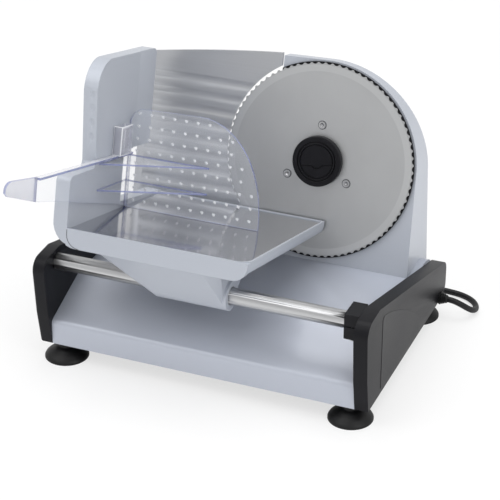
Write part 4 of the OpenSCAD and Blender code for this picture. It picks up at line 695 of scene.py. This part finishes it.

# %% [markdown]
# The plate's teeth point at the blade and give it grip. Each is a small blunt cone with a stretched cross-section,
# turned to slant, and the rows follow the curved side. All of them go into one mesh, as they come out of one
# mould. Their nearly opaque white is a painted highlight.

# %% Teeth of the pusher
TOOTH_STEP = 12.0
TOOTH_ROWS = 8
TOOTH_SLANT = 48
TOOTH_LONG = 1.9
TOOTH_ROOT = 0.95
TOOTH_TIP = 0.55
TOOTH_DEPTH = 3.0
TOOTH_MIDDLE = 1.4
TEETH_ABOVE_FOOT = 7
TEETH_FROM_LEFT = 8
TEETH_MARGIN = 14
tooth_shape = (Matrix.Rotation(math.radians(TOOTH_SLANT), 4, "Y") @ Matrix.Diagonal((TOOTH_LONG, 1, 1, 1))
               @ Matrix.Rotation(math.radians(-90), 4, "X"))
teeth = bmesh.new()
tooth_count = 0
for row in range(TOOTH_ROWS):
    height = PUSHER_FOOT + TEETH_ABOVE_FOOT + row * TOOTH_STEP
    share = (height - PUSHER_FOOT) / plate_height
    width = CURVE_START + curve_width * math.sqrt(1 - share * share) - PUSHER_LEFT
    for column in range(int((width - TEETH_MARGIN) // TOOTH_STEP) + 1):
        left = PUSHER_LEFT + TEETH_FROM_LEFT + column * TOOTH_STEP
        middle = Matrix.Translation((left, TOOTH_MIDDLE - PLATE_BACK, height))
        bmesh.ops.create_cone(teeth, cap_ends=True, segments=10, radius1=TOOTH_ROOT, radius2=TOOTH_TIP,
                              depth=TOOTH_DEPTH, matrix=middle @ tooth_shape)
        tooth_count += 1
bmesh.ops.scale(teeth, vec=(MM, MM, MM), verts=teeth.verts)
# The white finish of the teeth is a painted highlight.
keep_piece("pusher_teeth", teeth, "food_pusher", "clear_plastic", (), LEANING, finish=clear_painted_highlight)
print("pusher teeth:", tooth_count)

# %% [markdown]
# Two level ribs brace the plate against the guard, which runs forward from the plate's left side, rises a little
# and ends in a smoky tab, bent outwards at a crease. A ledge along its top stiffens it, and its white finish is a
# painted highlight. The clip that holds the guard on the wall is the CAD's own shape, its rounded edges painted
# white as painted highlight.

# %% Ribs, guard and clip
RIB_LENGTH = 85.0
RIB_REACH = 150.0
RIB_THICKNESS = 2
for name, level in (("pusher_rib_high", -8.0), ("pusher_rib_low", -33.0)):
    rib = [(PUSHER_LEFT, -PLATE_FRONT), (PUSHER_LEFT + RIB_LENGTH, -PLATE_FRONT), (PUSHER_LEFT, -RIB_REACH)]
    clear_sheet(name, drawn(rib, level, level + RIB_THICKNESS, "Z"), "Z")
CREASE = 277.0
GUARD_LOW = 235.0
CREASE_TURN = -15
SHEET = 3.0
LEDGE = 6
guard_outline = [(-PLATE_BACK, PUSHER_FOOT), (-99, -53.9), (-GUARD_LOW, -27), (-CREASE, -20), (-CREASE, 2),
                 (-PLATE_BACK, -4)]
clear_sheet("hand_guard", drawn(guard_outline, PUSHER_LEFT, PUSHER_LEFT + SHEET, "X"), "X")
ledge_outline = [(-PLATE_FRONT, -6.2), (-PLATE_FRONT, -3.8), (-CREASE, 2.0), (-CREASE, -0.4)]
# The ledge's white finish is a painted highlight.
clear_sheet("guard_ledge", drawn(ledge_outline, PUSHER_LEFT, PUSHER_LEFT + LEDGE, "X"), "Z",
            finish=clear_painted_highlight)
end_outline = [(1, -20), (-35, -11), (-38, -8)] + [(-a, b) for a, b in arc(30, -6, 8, 0, 90)] + [(1, 2)]
end_place = (LEANING @ Matrix.Translation(Vector((PUSHER_LEFT, -CREASE, 0)) * MM)
             @ Matrix.Rotation(math.radians(CREASE_TURN), 4, "Z"))
clear_sheet("guard_end", drawn(end_outline, 0, SHEET, "X"), "X", place=end_place, finish=smoky_end)
clip = keep_piece("guard_clip", merged_copy("pusher_clip"), "food_pusher", "clear_plastic",
                  ("pusher_clip",), finish=smoky_end, edge_finish=clear_painted_highlight)
round_edges(clip, 0.7, 2)
# The clip's rounded edges take the white finish, a painted highlight.
clip.modifiers["round edges"].material = 1
print("clip faces:", len(clip.data.polygons))

# %% [markdown]
# The blade lock is a turned knob with a flat rim, a thin second ring inside it and a sunk floor. A flap with
# a small tongue covers the upper part of the floor: the edge that the fingers turn it by. A second sheet
# fills the lower part, and the narrow gap between them draws the dark line. The turned part is a profile
# spun round the axis, and the two sheets are outlines drawn through, as on the pusher.

# %% Blade lock
def blade_lathe(profile, steps):
    """A body round the blade's axis, from (distance behind the blade, radius) pairs in millimetres."""
    return lathe([(along * MM, radius * MM) for along, radius in profile], steps, "Y")


lock_profile = [(7, 5.1), (7, 14.9), (-0.6, 14.9), (-0.6, 24.5), (-6.7, 24.5), (-7.2, 24.3), (-7.5, 23.8),
                (-7.5, 20.0), (-7.3, 19.7), (-5.8, 19.6), (-5.8, 18.6), (-7.2, 18.4), (-7.4, 18.1),
                (-7.4, 17.4), (-7.2, 17.1), (-5.4, 16.9), (-5.4, 0), (-4.5, 0), (-4.5, 5.1), (7, 5.1)]
keep_piece("lock_disc", blade_lathe(lock_profile, 96), "lock", "dark_plastic", ("blade_lock",), AT_BLADE)
FLAP_RADIUS = 15.9
FLAP_CHORD = -3.2
FLAP_GAP = 1.0
FLAP_BACK = -5.3
FLAP_TURN = Matrix.Rotation(math.radians(-8), 4, "Y")
TONGUE = [(5.4, 0.0), (3.9, -1.7), (1.8, -2.8), (-1.8, -2.8), (-3.9, -1.7), (-5.4, 0.0)]


def half_disc(chord, upper, widen):
    """One side of a disc that is parted by a chord with a tongue."""
    turn = math.degrees(math.asin(chord / FLAP_RADIUS))
    ends = (180 - turn, turn) if upper else (180 - turn, 360 + turn)
    return arc(0, 0, FLAP_RADIUS, *ends, 40) + [(x * widen, chord + v * widen) for x, v in TONGUE]


for name, outline, top in (("lock_flap", half_disc(FLAP_CHORD, True, 1.0), -6.9),
                           ("lock_floor", half_disc(FLAP_CHORD - FLAP_GAP, False, 1.12), -6.7)):
    flap = keep_piece(name, drawn(outline, top, FLAP_BACK, "Y"), "lock", "dark_plastic", (),
                      AT_BLADE @ FLAP_TURN)
    round_edges(flap, 0.3, 2)
    print(name, "faces:", len(flap.data.polygons))

# %% [markdown]
# The blade's screws sit in shallow seats, darkened as painted shade of their countersinks. Behind the teeth, a
# dark ring stands on the housing as painted shade. It makes every gap between two teeth a black notch, the shadow
# between blade and housing, which is what makes the edge look sharp. The ring ends where the housing does, so it
# is cut off by a plane there.

# %% Screw seats and the ring behind the teeth, both painted shade
SCREW_CIRCLE = 35.0
seat_profile = [(-0.5, 3.55), (-0.75, 3.6), (-0.75, 4.2), (-0.5, 4.4), (-0.5, 3.55)]
for number, turn in enumerate((90, 210, 330)):
    spot = Vector((math.cos(math.radians(turn)), 0, math.sin(math.radians(turn)))) * SCREW_CIRCLE * MM
    # The seats are dark as painted shade of the countersinks round the screws.
    keep_piece(f"screw_seat_shade_{number + 1}", blade_lathe(seat_profile, 40), "blade_disc", "blade_steel", (),
               AT_BLADE @ Matrix.Translation(spot), finish=finishes["motor_iron"])

# A dark ring that is painted shade: the shadow in the gaps between the blade's teeth and the housing.
SHADE_RING_EDGE = 95.8
SHADE_RING_INSIDE = 86
HOUSING_LEFT = -46.6
shade_ring_profile = [(0.9, SHADE_RING_INSIDE), (0.9, SHADE_RING_EDGE - 0.2), (1.1, SHADE_RING_EDGE),
                   (1.4, SHADE_RING_EDGE - 1.5), (3.95, SHADE_RING_EDGE - 2), (3.95, SHADE_RING_INSIDE),
                   (0.9, SHADE_RING_INSIDE)]
shade_ring_mesh = blade_lathe(shade_ring_profile, 168)
cut = bmesh.ops.bisect_plane(shade_ring_mesh, geom=shade_ring_mesh.verts[:] + shade_ring_mesh.edges[:] + shade_ring_mesh.faces[:],
                             dist=1e-7, plane_co=(HOUSING_LEFT * MM, 0, 0), plane_no=(-1, 0, 0),
                             clear_outer=True)
cut_edges = [item for item in cut["geom_cut"] if isinstance(item, bmesh.types.BMEdge)]
bmesh.ops.holes_fill(shade_ring_mesh, edges=cut_edges)
keep_piece("painted_shade_ring", shade_ring_mesh, "base", "dark_plastic", (), AT_BLADE)
print("edges along the ring's cut:", len(cut_edges))

# %% [markdown]
# The tray's steel sheet ends in a narrow turned-up lip. It is hardly a millimetre wide, but it draws the
# bright line along the tray's front, so it is worth a piece: a strip along the sheet's outline, drawn
# upwards. The seam beside the apron is the gap between two mouldings, a dark strip round its corner.

# %% Lip of the tray and seam of the apron
WALL_INSIDE = -117.0
TRAY_RIGHT = 59.0
TRAY_FRONT = 206.0
TRAY_REAR = 3.4
TRAY_CORNER = 13.0
TRAY_TOP = -58.2


def tray_line(inset):
    corner = arc(TRAY_RIGHT - TRAY_CORNER, TRAY_CORNER - TRAY_FRONT, TRAY_CORNER - inset, 270, 360, 12)
    return [(WALL_INSIDE, inset - TRAY_FRONT)] + corner + [(TRAY_RIGHT - inset, -TRAY_REAR)]


lip = drawn(tray_line(0.5) + tray_line(1.6)[::-1], TRAY_TOP - 0.4, TRAY_TOP + 0.5, "Z")
round_edges(keep_piece("tray_lip", lip, "carriage", "mirror_steel", (), LEANING), 0.25, 2)

APRON_LOW = -75.2
SEAM_WIDTH = 0.6
seam_middle = (WALL_INSIDE + TRAY_CORNER, APRON_LOW + TRAY_CORNER)
seam = [(WALL_INSIDE, TRAY_TOP)] + arc(*seam_middle, TRAY_CORNER, 180, 270)
seam += arc(*seam_middle, TRAY_CORNER - SEAM_WIDTH, 270, 180) + [(WALL_INSIDE + SEAM_WIDTH, TRAY_TOP)]
keep_piece("apron_seam", drawn(seam, -TRAY_FRONT - 0.12, 0.5 - TRAY_FRONT, "Y"), "carriage",
           "silver_plastic", (), LEANING, finish=finishes["motor_iron"])
print("points in the outline of the seam:", len(seam))

# %% [markdown]
# The end caps swell by a few tenths of a millimetre inside a D-shaped line. A thin raised sheet with rounded
# edges is enough for the line to catch the light.

# %% Swell of the caps
CAP_OUT = 165.3
SWELL = 0.35
SWELL_ROOT = 0.6
swell_outline = [(33, 24), (33, 96), (37, 99), (44.3, 96.7), (62.1, 90.1), (83.6, 80.1), (109.3, 65.7),
                 (129.3, 52.7), (143.5, 39.4), (148, 30), (147, 24)]
for side, name in ((1, "right_swell"), (-1, "left_swell")):
    low, high = sorted((side * (CAP_OUT - SWELL_ROOT), side * (CAP_OUT + SWELL)))
    swell = drawn([(y + skirt_y / MM, z) for y, z in swell_outline], low, high, "X")
    round_edges(keep_piece(name, swell, "base", "dark_plastic"), 0.3, 3)
    print(name, "in millimetres, x from", round(low, 2), "to", round(high, 2))

# %% [markdown]
# The carriage's wall has four small dents in its front edge. Flat egg shapes are cut out of the wall by a
# Boolean, which is worked out once, before the edges are rounded. The rims of the dents are shallower than
# the wall's own corners, so a higher limit of the rounding leaves them crisp.

# %% Dents of the wall
DENT_HEIGHTS = (59.0, 46.0, 32.7, 19.0)
DENT_SIZE = (2.6, 1.5, 4.6)
DENT_OFFSET = 0.6
DENT_X = -122.0
DENT_RIM = math.radians(24)
WALL_FRONT = 156
WALL_SLANT = 8.0 / 66.0
CORNER_ANGLE = math.radians(62)
eggs = bmesh.new()
for height in DENT_HEIGHTS:
    front = WALL_FRONT + WALL_SLANT * (height + 4)
    seat = (Matrix.Translation(Vector((DENT_X, -front - DENT_OFFSET, height)))
            @ Matrix.Rotation(math.atan(WALL_SLANT), 4, "X") @ Matrix.Diagonal((*DENT_SIZE, 1.0)))
    bmesh.ops.create_uvsphere(eggs, u_segments=16, v_segments=12, radius=1.0, matrix=seat)
bmesh.ops.scale(eggs, vec=(MM, MM, MM), verts=eggs.verts)
bmesh.ops.transform(eggs, matrix=LEANING, verts=eggs.verts)
egg_mesh = bpy.data.meshes.new("wall_dent_cutter")
eggs.to_mesh(egg_mesh)
eggs.free()
egg_tool = put_in_scene("wall_dent_cutter", egg_mesh)
edge_rounding = wall.modifiers["round edges"]
edge_rounding.show_viewport = False
dents = wall.modifiers.new("dents", "BOOLEAN")
dents.operation = "DIFFERENCE"
dents.solver = "EXACT"
dents.object = egg_tool
bpy.context.view_layer.update()
dented = bpy.data.meshes.new_from_object(wall.evaluated_get(bpy.context.evaluated_depsgraph_get()))
print("faces of the wall, before and after its dents:", len(wall.data.polygons), len(dented.polygons))
wall.modifiers.remove(dents)
dented.set_sharp_from_angle(angle=DENT_RIM)
wall.data = dented
edge_rounding.show_viewport = True
edge_rounding.angle_limit = CORNER_ANGLE
bpy.data.objects.remove(egg_tool)

# %% [markdown]
# A studio shot of a product on white needs a floor that is white but still holds a soft shadow. The floor
# is an ordinary matt white. Only for rays that come from the camera, that pass through clear plastic or
# that are mirrored in gloss, it is mixed with plain white light, so the shadow stays and the background
# goes pale. The sky is plain white for the camera and a little darker for the object.

# %% Floor and world
CAMERA_RAY = 0
GLOSSY_RAY = 3
TRANSMISSION_RAY = 6
GLOW_SEEN = 0.66
GLOW_MIRRORED = 0.3
MATT_WHITE = (0.93, 0.93, 0.93, 1)
WHITE = (1, 1, 1, 1)
SKY_LIGHT = 0.75
FLOOR_HALF = 6.0


def ray_is(wire, kind):
    return wire.node("ShaderNodeLightPath", out=kind)


def studio_floor():
    material = bpy.data.materials.new("studio_floor")
    material.use_nodes = True
    tree = material.node_tree
    tree.nodes.clear()
    wire = Wire(tree)
    seen = ray_is(wire, CAMERA_RAY) + ray_is(wire, TRANSMISSION_RAY)
    share = seen * GLOW_SEEN + ray_is(wire, GLOSSY_RAY) * GLOW_MIRRORED
    matt = wire.node("ShaderNodeBsdfDiffuse", None, {"Color": MATT_WHITE})
    glow = wire.node("ShaderNodeEmission", None, {"Color": WHITE, "Strength": 1.0})
    mixed = wire.node("ShaderNodeMixShader", None, {0: share, 1: matt, 2: glow})
    wire.node("ShaderNodeOutputMaterial", None, {"Surface": mixed})
    return material


floor_mesh = bmesh.new()
bmesh.ops.create_grid(floor_mesh, x_segments=1, y_segments=1, size=FLOOR_HALF)
floor_data = bpy.data.meshes.new("floor")
floor_mesh.to_mesh(floor_data)
floor_mesh.free()
floor_data.materials.append(studio_floor())
put_in_scene("floor", floor_data)

world = bpy.data.worlds.new("studio")
bpy.context.scene.world = world
world.use_nodes = True
world_wire = Wire(world.node_tree)
sky = world.node_tree.nodes["Background"]
seen_ray = ray_is(world_wire, CAMERA_RAY) + ray_is(world_wire, TRANSMISSION_RAY)
world.node_tree.links.new((seen_ray * (1 - SKY_LIGHT) + SKY_LIGHT).socket, sky.inputs["Strength"])
sky.inputs["Color"].default_value = WHITE
print("floor, metres across:", 2 * FLOOR_HALF, "and sky on the object:", SKY_LIGHT)

# %% [markdown]
# Three large soft boxes light the machine: one from the front left, a weaker one from the right, and one
# from above. Large boxes give the wide, soft highlights on the rod and the paint, and no hard shadow.

# %% Lamps
LIGHT_AIM = Vector((0, 0, 0.1))


def soft_box(name, place, width, height, power):
    data = bpy.data.lights.new(name, "AREA")
    data.shape = "RECTANGLE"
    data.size = width
    data.size_y = height
    data.energy = power
    lamp = put_in_scene(name, data)
    lamp.location = place
    lamp.rotation_euler = (LIGHT_AIM - Vector(place)).to_track_quat("-Z", "Y").to_euler()
    print(name, "watts:", power)


soft_box("key_light", (-1.1, -1.0, 2.2), 1.4, 1.4, 11)
soft_box("fill_light", (1.7, -0.7, 1.5), 1.2, 1.2, 9)
soft_box("top_light", (0.1, 0.3, 2.3), 1.8, 1.2, 18)

# %% [markdown]
# The last step brings the view layer up to date.

# %% Finish
bpy.context.view_layer.update()
